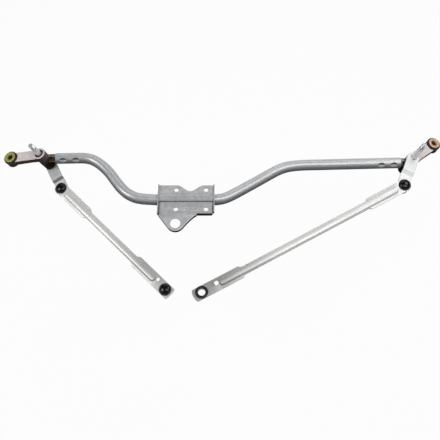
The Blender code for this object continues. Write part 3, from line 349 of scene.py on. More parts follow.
def block(name, low, high, matrix, edge=0.0):
    """Block between two corners of a frame."""
    outline = [(low[0], low[1]), (high[0], low[1]), (high[0], high[1]), (low[0], high[1])]
    return extruded(name, outline, low[2], high[2], matrix, edge)


def modified(obj, kind, **values):
    """Object with one more modifier of a kind, set to the given values."""
    modifier = obj.modifiers.new(kind.title(), kind)
    for key, value in values.items():
        setattr(modifier, key, value)
    return obj


def baked(obj):
    """Object with its modifiers worked into its mesh."""
    evaluated = obj.evaluated_get(bpy.context.evaluated_depsgraph_get())
    mesh = bpy.data.meshes.new_from_object(evaluated)
    obj.modifiers.clear()
    obj.data = mesh
    return obj


def combined(base, tools, operation, keep=False):
    """Base with tools joined to it or cut from it, and the tools removed unless they are kept."""
    for tool in tools:
        modified(base, "BOOLEAN", operation=operation, solver="EXACT", object=tool)
    baked(base)
    for tool in [] if keep else tools:
        bpy.data.objects.remove(tool)
    return base


def gathered(name, pieces):
    """One object that holds the shells of several pieces, which are removed."""
    form = bmesh.new()
    for piece in pieces:
        form.from_mesh(piece.data)
        bpy.data.objects.remove(piece)
    mesh = bpy.data.meshes.new(name)
    form.to_mesh(mesh)
    form.free()
    return link(name, mesh)


def dressed(obj, material, body, slot, *nodes):
    """Shade a finished piece, give it its material and body, and let it stand for CAD nodes."""
    obj.data.materials.clear()
    obj.data.materials.append(material)
    obj.data.shade_smooth()
    obj.data.set_sharp_from_angle(angle=SMOOTH_ANGLE)
    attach(obj, body)
    if nodes:
        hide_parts(*nodes)
    return obj


def smooth_step(value):
    """Rise from 0 to 1 as a value goes from 0 to 1, level at both ends."""
    value = np.clip(value, 0.0, 1.0)
    return value * value * (3 - 2 * value)


# ---- materials

def fed(tree, item, inputs):
    """Shader node whose inputs are linked to a socket or set to a plain value."""
    for key, value in inputs.items():
        if isinstance(value, bpy.types.NodeSocket):
            tree.links.new(value, item.inputs[key])
        else:
            item.inputs[key].default_value = value
    return item


def node(tree, kind, inputs=None, **values):
    """New shader node with values set on its properties, and its inputs fed."""
    item = tree.nodes.new(kind)
    for key, value in values.items():
        setattr(item, key, value)
    return fed(tree, item, inputs or {})


def grey(value):
    """Colour of three equal parts."""
    return (value, value, value)


def noise(tree, vector, scale, detail, roughness, along=1.0):
    """Grey noise on a coordinate, drawn out along its X where along is under 1."""
    drawn = node(tree, "ShaderNodeMapping", {"Scale": (along, 1.0, 1.0), "Vector": vector}).outputs[0]
    inputs = {"Scale": scale, "Detail": detail, "Roughness": roughness, "Vector": drawn}
    return node(tree, "ShaderNodeTexNoise", inputs).outputs["Fac"]


def ramp(tree, value, low, high, start, end):
    """Colour ramp between two colours over part of a value's range."""
    item = node(tree, "ShaderNodeValToRGB", {"Fac": value})
    stops = item.color_ramp.elements
    stops[0].position, stops[0].color = start, (*low, 1.0)
    stops[1].position, stops[1].color = end, (*high, 1.0)
    return item.outputs["Color"]


def blended(tree, share, first, second, mode="MIX"):
    """Mix of two colours, each a socket or a plain colour, by a share that is a socket or a number."""
    inputs = {0: share}
    for place, value in ((6, first), (7, second)):
        inputs[place] = value if isinstance(value, bpy.types.NodeSocket) else (*value, 1.0)
    return node(tree, "ShaderNodeMix", inputs, data_type="RGBA", blend_type=mode).outputs[2]


def new_material(name, roughness, metallic, specular):
    """Material with a Principled shader and its plain values."""
    material = bpy.data.materials.new(name)
    material.use_nodes = True
    tree = material.node_tree
    plain = {"Roughness": roughness, "Metallic": metallic, "Specular IOR Level": specular}
    return material, tree, fed(tree, tree.nodes["Principled BSDF"], plain)


FINE_SCALE = 4.0
SPOT_SCALE = 2.3
BUMP_DISTANCE = 0.0002
# Roughness of the dull finish where painted shade lies
SHADED_ROUGHNESS = 0.8


def plated_metal(name, dark, light, roughness, metallic, scale, bump, along=1.0, rough_spread=0.06,
                 specular=0.2, spots=None, fade=None, shade_spot=None, painted_shade=None):
    """Metal whose colour wanders between two tones, with finer streaks in its gloss and relief.

    Colour: coarse noise between the tones with a little fine noise, and sparse spots of a share and a
    colour. Roughness and bump: the fine noise. Where along is under 1, the noise is drawn out along the
    piece's UV. fade multiplies the colour between two places along the UV, a painted shade where it is
    under 1 and a painted light where it is over 1. The shade spot, a painted shade, multiplies it inside
    a distance from a point, less and less up to a second distance. Where the piece's own attribute of
    painted shade is 1, the colour is multiplied by the painted shade colour and the finish is dull.
    """
    material, tree, shader = new_material(name, roughness, metallic, specular)
    coordinates = node(tree, "ShaderNodeTexCoord").outputs
    vector = coordinates["UV" if along < 1.0 else "Object"]
    coarse = noise(tree, vector, scale, 6.0, 0.6, along)
    fine = noise(tree, vector, scale * FINE_SCALE, 2.0, 0.5, along)
    colour = ramp(tree, coarse, dark, light, 0.32, 0.68)
    colour = blended(tree, 0.25, colour, ramp(tree, fine, dark, light, 0.3, 0.7))
    if spots:
        patch = noise(tree, vector, scale * SPOT_SCALE, 2.0, 0.5)
        amount = ramp(tree, patch, grey(0.0), grey(spots[0]), 0.62, 0.75)
        colour = blended(tree, amount, colour, spots[1])
    gloss = ramp(tree, fine, grey(roughness - rough_spread), grey(roughness + rough_spread), 0.3, 0.7)
    # Painted shade: where the piece's attribute says so, the colour darkens and the finish dulls
    if painted_shade:
        shade_share = node(tree, "ShaderNodeAttribute", attribute_name="painted_shade").outputs["Fac"]
        colour = blended(tree, shade_share, colour, painted_shade, "MULTIPLY")
        gloss = blended(tree, shade_share, gloss, grey(SHADED_ROUGHNESS))
        for place, value in (("Metallic", metallic), ("Specular IOR Level", specular)):
            fed(tree, shader, {place: blended(tree, shade_share, grey(value), grey(0.0))})
    if fade:
        split = node(tree, "ShaderNodeSeparateXYZ", {0: coordinates["UV"]})
        amount = ramp(tree, split.outputs[0], grey(0.0), grey(1.0), *fade[:2])
        colour = blended(tree, amount, colour, fade[2], "MULTIPLY")
    # Painted shade round a point, fading out with distance
    if shade_spot:
        places = {0: coordinates["Object"], 1: shade_spot[0]}
        away = node(tree, "ShaderNodeVectorMath", places, operation="DISTANCE").outputs["Value"]
        amount = ramp(tree, away, grey(1.0), grey(0.0), *shade_spot[1:3])
        colour = blended(tree, amount, colour, shade_spot[3], "MULTIPLY")
    relief = node(tree, "ShaderNodeBump", {"Strength": bump, "Distance": BUMP_DISTANCE, "Height": fine})
    fed(tree, shader, {"Base Color": colour, "Roughness": gloss, "Normal": relief.outputs[0]})
    return material


def make_materials():
    """Every finish of the linkage."""
    alloy = ((0.62, 0.54, 0.52), (0.86, 0.79, 0.77), 0.5, 0.1, 240.0, 0.5)
    pits = (0.3, (0.30, 0.25, 0.23))
    strip = {"along": 0.12, "rough_spread": 0.02, "painted_shade": grey(0.30)}
    return SimpleNamespace(
        # The tube's fade is painted light: 11 % lighter from the bracket on to its right end
        tube=plated_metal("galvanised_tube", (0.45, 0.46, 0.47), (0.56, 0.57, 0.58), 0.30, 0.30, 90.0, 0.1,
                          0.25, fade=(0.28, 0.45, grey(1.11)), painted_shade=(0.28, 0.28, 0.29)),
        bracket=plated_metal("galvanised_sheet", (0.36, 0.37, 0.38), (0.55, 0.56, 0.57), 0.42, 0.15, 130.0,
                             0.3, spots=(0.5, (0.62, 0.62, 0.60)), painted_shade=grey(0.12)),
        # Each casting's shade spot is painted shade, dark brown round its neck where the barrel meets the
        # tube's end
        left_casting=plated_metal("left_cast_alloy", *alloy, spots=pits, painted_shade=(0.21, 0.18, 0.17),
                                  shade_spot=((-0.288, 0.119, -0.006), 0.014, 0.026, (0.16, 0.13, 0.10))),
        right_casting=plated_metal("right_cast_alloy", *alloy, spots=pits, painted_shade=(0.21, 0.185, 0.17),
                                   shade_spot=((0.434, 0.107, -0.008), 0.014, 0.026, (0.16, 0.15, 0.12))),
        zinc=plated_metal("bright_zinc", (0.60, 0.61, 0.61), (0.80, 0.81, 0.81), 0.32, 0.45, 160.0, 0.2),
        left_crank=plated_metal("grey_zinc", (0.66, 0.67, 0.67), (0.86, 0.87, 0.87), 0.42, 0.2, 120.0, 0.1,
                                painted_shade=grey(0.22)),
        # The right crank's near-white is painted light: a lit copy of the left crank's grey zinc
        right_crank=plated_metal("painted_lit_zinc", (0.94, 0.95, 0.95), (0.97, 0.98, 0.98), 0.5, 0.1, 160.0,
                                 0.05),
        # The rods' fades are painted shade, darker toward their motor ends
        left_rod=plated_metal("left_zinc_strip", (0.64, 0.64, 0.63), (0.78, 0.78, 0.77), 0.36, 0.35, 60.0,
                              0.03, fade=(0.16, 0.27, grey(0.72)), **strip),
        right_rod=plated_metal("right_zinc_strip", (0.66, 0.66, 0.65), (0.80, 0.80, 0.79), 0.36, 0.35, 60.0,
                               0.03, fade=(0.30, 0.45, grey(0.45)), **strip),
        phosphate=plated_metal("black_phosphate", grey(0.02), grey(0.04), 0.4, 0.1, 400.0, 0.1),
        shaft=plated_metal("machined_shaft", (0.56, 0.57, 0.58), (0.78, 0.79, 0.80), 0.28, 0.55, 300.0,
                           0.15),
        yellow=plated_metal("yellow_zinc", (0.36, 0.36, 0.10), (0.62, 0.58, 0.22), 0.3, 0.45, 260.0, 0.2,
                            spots=(0.5, (0.30, 0.38, 0.16)), painted_shade=(0.10, 0.09, 0.08)),
        copper=plated_metal("copper_zinc", (0.58, 0.36, 0.22), (0.84, 0.62, 0.46), 0.32, 0.4, 260.0, 0.2,
                            painted_shade=(0.20, 0.14, 0.11)),
        bronze=plated_metal("sintered_bronze", (0.24, 0.16, 0.07), (0.38, 0.27, 0.13), 0.5, 0.7, 700.0, 0.5),
        rubber=plated_metal("black_rubber", (0.018, 0.014, 0.012), (0.045, 0.035, 0.030), 0.6, 0.0, 400.0,
                            0.3),
        plastic=plated_metal("black_plastic", grey(0.003), grey(0.007), 0.14, 0.0, 500.0, 0.05,
                             rough_spread=0.04, specular=0.3),
    )


FINISH = make_materials()


# ---- frame tube

def tube_path():
    """Points along the tube: between two neighbours of the route, a cubic Bezier whose handles lie a
    third of the way along directions taken from the points on either side."""
    route = np.array(TUBE_ROUTE)
    ahead = np.vstack([route[1:], route[-1:]])
    behind = np.vstack([route[:1], route[:-1]])
    way = unit(ahead - behind)
    start, end = route[:-1], route[1:]
    third = np.linalg.norm(end - start, axis=1, keepdims=True) / 3
    t = np.linspace(0.0, 1.0, TUBE_STATIONS, endpoint=False)[None, :, None]
    control = [start, start + way[:-1] * third, end - way[1:] * third, end]
    weights = [(1 - t) ** 3, 3 * t * (1 - t) ** 2, 3 * t ** 2 * (1 - t), t ** 3]
    path = sum(weight * point[:, None] for weight, point in zip(weights, control))
    return np.vstack([path.reshape(-1, 2), route[-1:]])


def crimps(from_left, from_right, angle):
    """Depth of the crimps, the painted shade in them and where they are. Round the tube each falls steeply
    from its first angle and comes back evenly to its second, and along the tube it fades as a half circle
    does."""
    depth = np.zeros(np.broadcast_shapes(from_left.shape, angle.shape))
    shade_share = depth.copy()
    area = depth.copy()
    for distance, centres in ((from_left, LEFT_CRIMPS), (from_right, RIGHT_CRIMPS)):
        for centre in centres:
            along = np.clip((distance - centre) / CRIMP_HALF_LENGTH, -1.0, 1.0)
            room = np.sqrt(1 - along ** 2)
            for start, end in CRIMP_ANGLES:
                turn = (np.degrees(angle) - start + 90.0) % 360.0 - 90.0
                share = 0.5 + (turn / (end - start) - 0.5) / np.maximum(room, 0.05)
                inside = (share > 0.0) & (share < 1.0) & (room > 0.05)
                fall = smooth_step(share / CRIMP_STEP) * np.clip((1 - share) / (1 - CRIMP_STEP), 0.0, 1.0)
                depth += CRIMP_DEPTH * fall * inside * room
                # Painted shade over the steep first part of each crimp
                shade_share += smooth_step(share / 0.1) * smooth_step((0.60 - share) / 0.15) * inside
                area += smooth_step((1 - share) / 0.25) * inside
    return depth, np.clip(shade_share, 0.0, 1.0), np.clip(area, 0.0, 1.0)


def make_frame_tube():
    """Tube: circles carried along the path, dented at the crimps and folded in at both open ends. Painted
    shade darkens and dulls its zinc underneath, on the viewer's lower side and in the crimps."""
    path = tube_path()
    steps = np.linalg.norm(np.diff(path, axis=0), axis=1)
    distance = np.concatenate([[0.0], np.cumsum(steps)])
    way = unit(np.gradient(path, axis=0))
    rim = RIM_EDGE
    inside = np.array([RIM_DEPTH, rim, 0.0, 0.0, rim])
    radii = np.array([TUBE_INNER, TUBE_INNER, TUBE_INNER + rim, TUBE_RADIUS - rim, TUBE_RADIUS])
    total = distance[-1]
    crimped = np.linspace(2 * rim, CRIMPED_LENGTH, CRIMPED_STATIONS)
    plain = np.linspace(CRIMPED_LENGTH, total - CRIMPED_LENGTH, round(total / TUBE_SPACING))[1:-1]
    middle = np.concatenate([crimped, plain, (total - crimped)[::-1]])
    station = np.concatenate([inside, middle, total - inside[::-1]])
    radius = np.concatenate([radii, np.full(len(middle), TUBE_RADIUS), radii[::-1]])
    centre = np.stack([np.interp(station, distance, path[:, i]) for i in (0, 1)], axis=1)
    heading = np.stack([np.interp(station, distance, way[:, i]) for i in (0, 1)], axis=1)
    angle = np.linspace(0.0, 2 * math.pi, TUBE_SIDES, endpoint=False)[None, :]
    outer = (radius > TUBE_RADIUS - 1e-6)[:, None]
    dent, shade_share, area = crimps(station[:, None], (total - station)[:, None], angle)
    reach = radius[:, None] - dent * outer
    side = np.stack([heading[:, 1], -heading[:, 0]], axis=1)
    points = np.empty((len(station), TUBE_SIDES, 3))
    points[..., :2] = centre[:, None] + side[:, None] * (reach * np.sin(angle))[..., None]
    points[..., 2] = reach * np.cos(angle)
    # Painted shade on the underside and the viewer's lower side, left off the crimps and added to theirs
    (start, start_soft), (end, end_soft) = UNDERSIDE
    turn = np.degrees(angle)
    shade = smooth_step((turn - start) / start_soft) * smooth_step((end - turn) / end_soft)
    shade_share = np.maximum(shade_share, UNDERSIDE_SHADE * shade * (1 - area)) * outer
    tube = surface("tube_skin", points, wrap_v=True, caps=True, painted_shade=shade_share)
    dressed(tube, FINISH.tube, "frame", "galvanised_steel", "frame_tube")


# ---- motor bracket

BRACKET_FRAME = np.array([[1.0, 0.0, 0.0, 0.0], [0.0, 1.0, 0.0, -0.0053], [0.0, 0.0, 1.0, 0.0095],
                          [0.0, 0.0, 0.0, 1.0]])
BRACKET_TOP = 0.0547
BRACKET_BOTTOM = -0.0092
SADDLE_FILLETS = (0.003, 0.001)
CREASE = 0.0008
LIP_HEIGHT = 0.0050
LIP_OUT = 0.0012
LIP_THICKNESS = 0.0017
BOLT_X = 0.0295
BOLT_Y = 0.044
LUG_FOLD = -0.0129
LUG_HOLE = (-0.0298, -0.017)
LUG_ROUND = (-0.0298, -0.0148)
LUG_RIGHT = 0.0115
LUG_LEAN = 40.0
LUG_STRAIGHT = 0.0315
LUG_TILT = 10.0
LUG_DEPTH = 0.009
LUG_HOLE_RADIUS = 0.010
LOCATOR_X = -0.0123
LOCATOR_RADIUS = 0.0015
BOLT_RADIUS = 0.0045
DIP_CENTRE = -0.00175
DIP_HALF_WIDTH = 0.0265
DIP_DEPTH = 0.0135
SKIRT_SIDES = (0.0095, 0.0425)
SKIRT_DEPTH = 0.0095
SKIRT_FRONT = 0.0095
SKIRT_THICKNESS = 0.0025
# Share of painted shade on the plate in front of the tube
PLATE_SHADE = 0.14


def bracket_section():
    """Upper line of the pressing in its own YZ plane: flange, fillet, arc over the tube, a crease where
    the arc meets the lower plate, and the plate. Also the painted shade along it, a narrow bell at the
    crease."""
    centre = np.array([TUBE_SEAT_Y, 0.0]) - BRACKET_FRAME[1:3, 3]
    saddle = TUBE_RADIUS + SEAT_GAP + SHEET
    places = []
    for fillet in SADDLE_FILLETS:
        rise = fillet - centre[1]
        reach = math.sqrt((saddle + fillet) ** 2 - rise ** 2)
        places.append((fillet, reach, math.degrees(math.atan2(rise, reach))))
    (upper, upper_reach, start), (lower, lower_reach, end) = places
    lines = [[(BRACKET_TOP, 0.0)],
             arc((centre[0] + upper_reach, upper), upper, -90.0, -180.0 + start, 8),
             arc(centre, saddle, start, 180.0 - end, 44)[1:-1],
             arc((centre[0] - lower_reach, lower), lower, -end, -90.0, 8),
             np.stack([np.linspace(centre[0] - lower_reach - 0.0004, LUG_FOLD, 40), np.zeros(40)], axis=1)]
    line = np.vstack(lines)
    bell = np.exp(-((line[:, 0] - centre[0] + lower_reach) / 0.0010) ** 2)
    line[:, 1] -= CREASE * bell
    return line, bell


def make_plate():
    """Plate with a flared lip along both short edges: a flat-bottomed U of ten points, its floor as thick
    as the sheet and its lips rising over the saddle, carried along the section line. Painted shade lies
    in the crease, beside the lips and thinly on the plate in front of the tube."""
    line, bell = bracket_section()
    centre_line = TUBE_SEAT_Y - BRACKET_FRAME[1, 3]
    way = unit(np.gradient(line, axis=0))
    below = line + np.stack([-way[:, 1], way[:, 0]], axis=1) * SHEET
    lip = np.stack([line[:, 0], LIP_HEIGHT + 0.6 * np.maximum(line[:, 1], 0.0)], axis=1)
    left, right = BRACKET_LEFT - SHEET / 2, BRACKET_RIGHT + SHEET / 2
    foot = LIP_THICKNESS + 0.0022
    loop = [(left, below), (right, below), (right + LIP_OUT, lip), (right + LIP_OUT - LIP_THICKNESS, lip),
            (right - LIP_THICKNESS, line), (right - foot, line), (left + foot, line),
            (left + LIP_THICKNESS, line), (left - LIP_OUT + LIP_THICKNESS, lip), (left - LIP_OUT, lip)]
    points = np.stack([np.column_stack([np.full(len(line), x), side]) for x, side in loop], axis=1)
    reach = [0.0009, 0.0009, 0.0004, 0.0004, 0.0008, 0.0002, 0.0002, 0.0008, 0.0004, 0.0004]
    points = eased(points, np.broadcast_to(reach, points.shape[:2]), 4)
    # Painted shade: in the crease, in the corners beside the lips, and thinly on the plate in front of the
    # tube
    beside = np.repeat([0.0, 0.0, 0.0, 0.0, 0.8, 0.0, 0.0, 0.8, 0.0, 0.0], 5)[None]
    floor = np.repeat([0, 0, 0, 0, 1, 1, 1, 1, 0, 0], 5)[None]
    plate = PLATE_SHADE * (line[:, :1] < centre_line + 0.001)
    shade_share = np.maximum(beside * (line[:, :1] < line[np.argmax(bell), 0] + 0.001),
                      np.maximum(bell[:, None], plate) * floor)
    return surface("motor_plate", placed(points, BRACKET_FRAME), wrap_v=True, caps=True, painted_shade=shade_share)


def lug_outline(inset):
    """Round end about the hole, a straight left side that touches it, and a right side that leaves it
    straight and bends outward into the plate's edge."""
    centre = np.array(LUG_ROUND)
    radius = 0.0180 - inset
    corner = np.array([BRACKET_LEFT + inset, inset])
    offset = corner - centre
    start = math.degrees(math.atan2(offset[1], offset[0]) + math.acos(radius / np.linalg.norm(offset)))
    end = 360.0 - LUG_LEAN
    round_end = arc(centre, radius, start, end, 28)
    share = np.linspace(0.0, 1.0, 12)[1:, None]
    knee = round_end[-1] + LUG_STRAIGHT * np.array([math.sin(math.radians(LUG_LEAN)),
                                                    math.cos(math.radians(LUG_LEAN))])
    last = np.array([LUG_RIGHT - inset, inset])
    bend = (1 - share) ** 2 * round_end[-1] + 2 * share * (1 - share) * knee + share ** 2 * last
    return np.vstack([corner[None], round_end, bend])


def make_bracket():
    """Pressing: plate and lips, with a skirt and a tilted lug joined on, and the dip in the far edge, the
    corner and the holes cut. Its near rim carries painted shade where it faces down."""
    level = BRACKET_FRAME
    share = np.linspace(-1.0, 1.0, 33)
    wave = BRACKET_TOP - DIP_DEPTH / 2 * (1 + np.cos(math.pi * share))
    dip = np.stack([DIP_CENTRE + share * DIP_HALF_WIDTH, wave], axis=1)
    dip[[0, -1], 1] = BRACKET_TOP + 0.003
    corner = block("corner", (LUG_RIGHT, LUG_FOLD - SHEET, -0.006), (0.052, BRACKET_BOTTOM, 0.012), level)
    sheet = combined(make_plate(), [extruded("dip", dip, -0.006, 0.003, level), corner], "DIFFERENCE")
    half = SHEET / 2
    skirt = axes(level[:3, 3], (0.0, -1.0, 0.0), (1.0, 0.0, 0.0))
    near, far = SKIRT_SIDES
    fold = eased([(near, -half), (near, -SKIRT_DEPTH), (far, -SKIRT_DEPTH), (far, -half)],
                 [0.0004, 0.004, 0.004, 0.0004], 6)
    added = [extruded("skirt", fold, SKIRT_FRONT - SKIRT_THICKNESS, SKIRT_FRONT, skirt, 0.0004)]
    tilt = math.radians(LUG_TILT)
    lug_frame = axes(level[:3, 3] + np.array([0.0, LUG_FOLD, 0.0]), (0.0, -math.sin(tilt), math.cos(tilt)),
                     (1.0, 0.0, 0.0))
    lug = extruded("lug", lug_outline(0.0), -LUG_DEPTH, 0.0, lug_frame)
    hollow = extruded("hollow", lug_outline(SHEET), -LUG_DEPTH - 0.003, -SHEET, lug_frame)
    added.append(combined(lug, [hollow], "DIFFERENCE"))
    plate = combined(sheet, added, "UNION")
    ring = arc((0.0, 0.0), 1.0, 0.0, 360.0, 40)[:-1]
    holes = [(LUG_HOLE_RADIUS, -0.014, shifted(lug_frame, *LUG_HOLE)),
             (LOCATOR_RADIUS, -0.006, shifted(level, LOCATOR_X))]
    holes += [(BOLT_RADIUS, -0.006, shifted(level, x, y)) for x in (-BOLT_X, BOLT_X) for y in (0.0, BOLT_Y)]
    drills = [extruded("drill", ring * radius, low, 0.004, place) for radius, low, place in holes]
    plate = combined(plate, drills, "DIFFERENCE")
    modified(plate, "BEVEL", width=0.00035, segments=2, limit_method="ANGLE",
             angle_limit=math.radians(38), use_clamp_overlap=True)
    # Painted shade on the near rim, where its faces turn down
    rim = BRACKET_FRAME[1, 3] + BRACKET_BOTTOM + 0.0012
    with_painted_shade(baked(plate),
            lambda place, normal: (place[:, 1] < rim) * smooth_step((0.8 - normal[:, 2]) / 0.5))
    dressed(plate, FINISH.bracket, "frame", "bracket_steel", "motor_bracket")


# ---- pivots

def arm_outline(length, half_width, waist, hole=0.0):
    """Arm from above: a strip with its middle drawn in, and a hollow end where it meets a hole."""
    x = np.linspace(0.0, length, 13)
    y = half_width - (half_width - waist) * np.sin(math.pi * x / length)
    end = arc((length, 0.0), hole, -90.0, -270.0, 24) if hole else np.empty((0, 2))
    return np.vstack([np.stack([x, -y], axis=1), end, np.stack([x, y], axis=1)[::-1]])


def make_housing(pivot):
    """Die casting: turned barrel and eye, flat arm and ribs, each bored, then melted together on a fine
    grid of voxels and smoothed, which leaves the soft fillets of a casting."""
    half = ARM_THICKNESS / 2
    arm = pivot.arm_frame
    frame_up = compass(pivot, pivot.arm_heading)
    back_radius = BARREL_RADIUS - 0.0008
    body = turned("barrel", [(0.0, pivot.front), (BARREL_RADIUS, pivot.front), (back_radius, pivot.back),
                             (0.0, pivot.back)], frame_up, edge=0.0009)
    length = pivot.arm_length
    hole = BUSH_GROOVE + SEAT_GAP
    parts = [
        extruded("arm_top", arm_outline(length, 0.0112, 0.0105, hole), half - 0.0040, half, arm, 0.0004),
        extruded("arm_web", arm_outline(length, 0.0111, 0.0104, hole), 0.0010 - half, half - 0.0020, arm),
        extruded("arm_foot", arm_outline(length - EYE_RADIUS, 0.0112, 0.0105), -half, -half + 0.0040, arm,
                 0.0006),
    ]
    spigot = pivot.spigot_frame
    reach = float(np.linalg.norm(np.array(pivot.tube_end) - compass(pivot, 0.0)[:2, 3]))
    parts.append(block("neck_level", (-0.0098, -0.00225, -reach), (0.0098, 0.00225, 0.0), spigot, 0.0005))
    parts.append(block("neck_upright", (-0.00225, -0.0098, -reach), (0.00225, 0.0098, 0.0), spigot, 0.0005))
    for step in (0.25, 0.6):
        place = shifted(spigot, z=-(reach - BARREL_RADIUS) * step)
        parts.append(turned("neck_rib", hoop(0.0, 0.0090, -0.0006, 0.0006), place, 32, 0.0))
    parts.append(turned("spigot", [(0.0, 0.012), (0.0062, 0.012), (0.0062, 0.004), (0.0092, 0.003),
                                   (0.0092, -0.0003), (0.0, -0.0003)], spigot))
    eye = pivot.eye_frame
    thick = EYE_THICKNESS / 2
    room = BUSH_RADIUS + 0.0006
    rooms = [turned("room", hoop(0.0, room, near, far), eye, edge=0.0)
             for far, near in ((0.013, thick - SEAT_GAP), (-0.013, SEAT_GAP - thick))]
    bore = SPINDLE_RADIUS + 0.0023
    out = pivot.recess - pivot.crank_side * 0.002
    floor = pivot.recess + pivot.crank_side * RECESS_DEPTH
    far = pivot.face + pivot.crank_side * 0.002
    drill = turned("bore", [(0.0, out), (RECESS_RADIUS, out), (RECESS_RADIUS, floor), (bore, floor),
                            (bore, far), (0.0, far)], frame_up, edge=0.0)
    shells = [turned("eye", hoop(hole, EYE_RADIUS, -thick, thick), eye)]
    shells += [combined(part, rooms + [drill], "DIFFERENCE", keep=True) for part in parts[:3]]
    shells += [combined(part, [drill], "DIFFERENCE", keep=True) for part in [body] + parts[3:]]
    for tool in rooms + [drill]:
        bpy.data.objects.remove(tool)
    body = gathered(pivot.side + "_casting", shells)
    modified(body, "REMESH", mode="VOXEL", voxel_size=0.00055, use_smooth_shade=True)
    modified(body, "SMOOTH", factor=0.5, iterations=4)
    # Painted shade, growing as the faces turn from up to the side and below
    with_painted_shade(baked(body), lambda place, normal: smooth_step((0.62 - normal[:, 2]) / 0.5))
    dressed(body, getattr(FINISH, pivot.side + "_casting"), "frame", "cast_aluminium",
            pivot.side + "_pivot_housing")


def make_bush_and_sleeve(pivot, sleeve_finish, slot):
    """Grommet with two rounded flanges, and the flanged sleeve through it, dished at its mouth and drawn
    in at its lower end."""
    seat = EYE_THICKNESS / 2 + SEAT_GAP
    half = EYE_THICKNESS / 2 - SEAT_GAP
    top = seat + BUSH_FLANGE
    inner = SLEEVE_RADIUS + SEAT_GAP
    profile = [(inner, top), (BUSH_RADIUS, top), (BUSH_RADIUS, seat), (BUSH_GROOVE, seat),
               (BUSH_GROOVE, half), (BUSH_GROOVE, -half), (BUSH_GROOVE, -seat), (BUSH_RADIUS, -seat),
               (BUSH_RADIUS, -top), (inner, -top)]
    edges = [0.0003, 0.0020, 0.0012, 0.0002, 0.0, 0.0, 0.0002, 0.0012, 0.0020, 0.0003]
    bush = turned(pivot.side + "_grommet", eased(profile, edges, 6), pivot.eye_frame, edge=0.0)
    dressed(bush, FINISH.rubber, "frame", "black_rubber", pivot.side + "_rubber_bush")
    bottom = -top - 2 * SEAT_GAP
    under = top + SEAT_GAP
    face = under + SHEET
    profile = [(0.0066, face), (SLEEVE_FLANGE, face), (SLEEVE_FLANGE, under), (SLEEVE_RADIUS, under),
               (SLEEVE_RADIUS, bottom), (0.0034, bottom), (0.0034, bottom + 0.0030),
               (0.0042, bottom + 0.0040), (0.0042, face - 0.0042), (0.0056, face - 0.0030)]
    edges = [0.0009, 0.0007, 0.0005, 0.0003, 0.0004, 0.0003, 0.0005, 0.0005, 0.0008, 0.0008]
    sleeve = turned(pivot.side + "_flanged_sleeve", eased(profile, edges, 6), pivot.eye_frame, edge=0.0)
    centre, way = pivot.eye_frame[:3, 3], pivot.eye_frame[:3, 2]
    # Painted shade on the sleeve below its flange, bore included
    with_painted_shade(sleeve, lambda place, normal: (place - centre) @ way < face - 0.0030)
    dressed(sleeve, sleeve_finish, "frame", slot, pivot.side + "_spacer_sleeve")


THREAD_RADIUS = 0.0049
THREAD_LENGTH = 0.0105
THREAD_PITCH = 0.00125
KNURL_COUNT = 36
KNURL_LENGTH = 0.008
STAKE_HEIGHT = 0.0018
STAKE_RADIUS = 0.0070
STAKE_EDGE = 0.0061


def make_spindle(pivot):
    """Shaft turned about its axis: at the tip the radius falls and rises with a helix, a saw wave of
    height over pitch less turn, and below it with the knurl, a cosine of the angle."""
    tip = pivot.tip
    thread_end = tip - THREAD_LENGTH
    cone_top = thread_end - 0.0015
    cone_end = cone_top - KNURL_LENGTH
    sign = pivot.crank_side
    far_face = pivot.face + sign * (THRUST_THICKNESS + 3 * SEAT_GAP + CRANK_THICKNESS)
    thread = [(THREAD_RADIUS, z) for z in np.linspace(tip - 0.0009, thread_end, 76)]
    cone = [(SPINDLE_RADIUS - 0.0004 * (z - cone_end) / KNURL_LENGTH, z)
            for z in np.linspace(cone_top, cone_end, 16)]
    profile = [(0.0, tip), (0.0040, tip)] + thread + [(0.0040, thread_end), (0.0040, cone_top)] + cone
    if sign < 0:
        shoulder = pivot.face - THRUST_THICKNESS - SEAT_GAP
        stake = far_face - STAKE_HEIGHT
        profile += [(SPINDLE_RADIUS, shoulder), (0.0048, shoulder), (0.0048, far_face),
                    (STAKE_RADIUS, far_face), (STAKE_RADIUS, stake + 0.0009), (STAKE_EDGE, stake),
                    (0.0, stake)]
    else:
        collar = far_face + STAKE_HEIGHT
        foot = pivot.recess + SEAT_GAP
        profile += [(SPINDLE_RADIUS, collar), (STAKE_EDGE, collar), (STAKE_RADIUS, collar - 0.0009),
                    (STAKE_RADIUS, far_face), (SPINDLE_RADIUS, far_face), (SPINDLE_RADIUS, foot),
                    (0.0, foot)]

    def cut(angle, radius, height):
        turn = height / THREAD_PITCH - angle / (2 * math.pi)
        wave = np.abs((turn % 1.0) * 2 - 1)
        in_thread = (height > thread_end + 1e-6) & (height < tip - 0.0008)
        fade = smooth_step((cone_top - height) / 0.0010) * smooth_step((height - cone_end) / 0.0010)
        ribs = 0.00018 * (1 + np.cos(KNURL_COUNT * angle)) * fade
        return radius - 0.0006 * wave * in_thread - ribs * (height < cone_top) * (height > cone_end)

    spindle = turned(pivot.side + "_shaft", profile, pivot.spindle_frame, 180, 0.0, cut)
    dressed(spindle, FINISH.shaft, pivot.side + "_crank_arm", "spindle_steel", pivot.side + "_spindle")


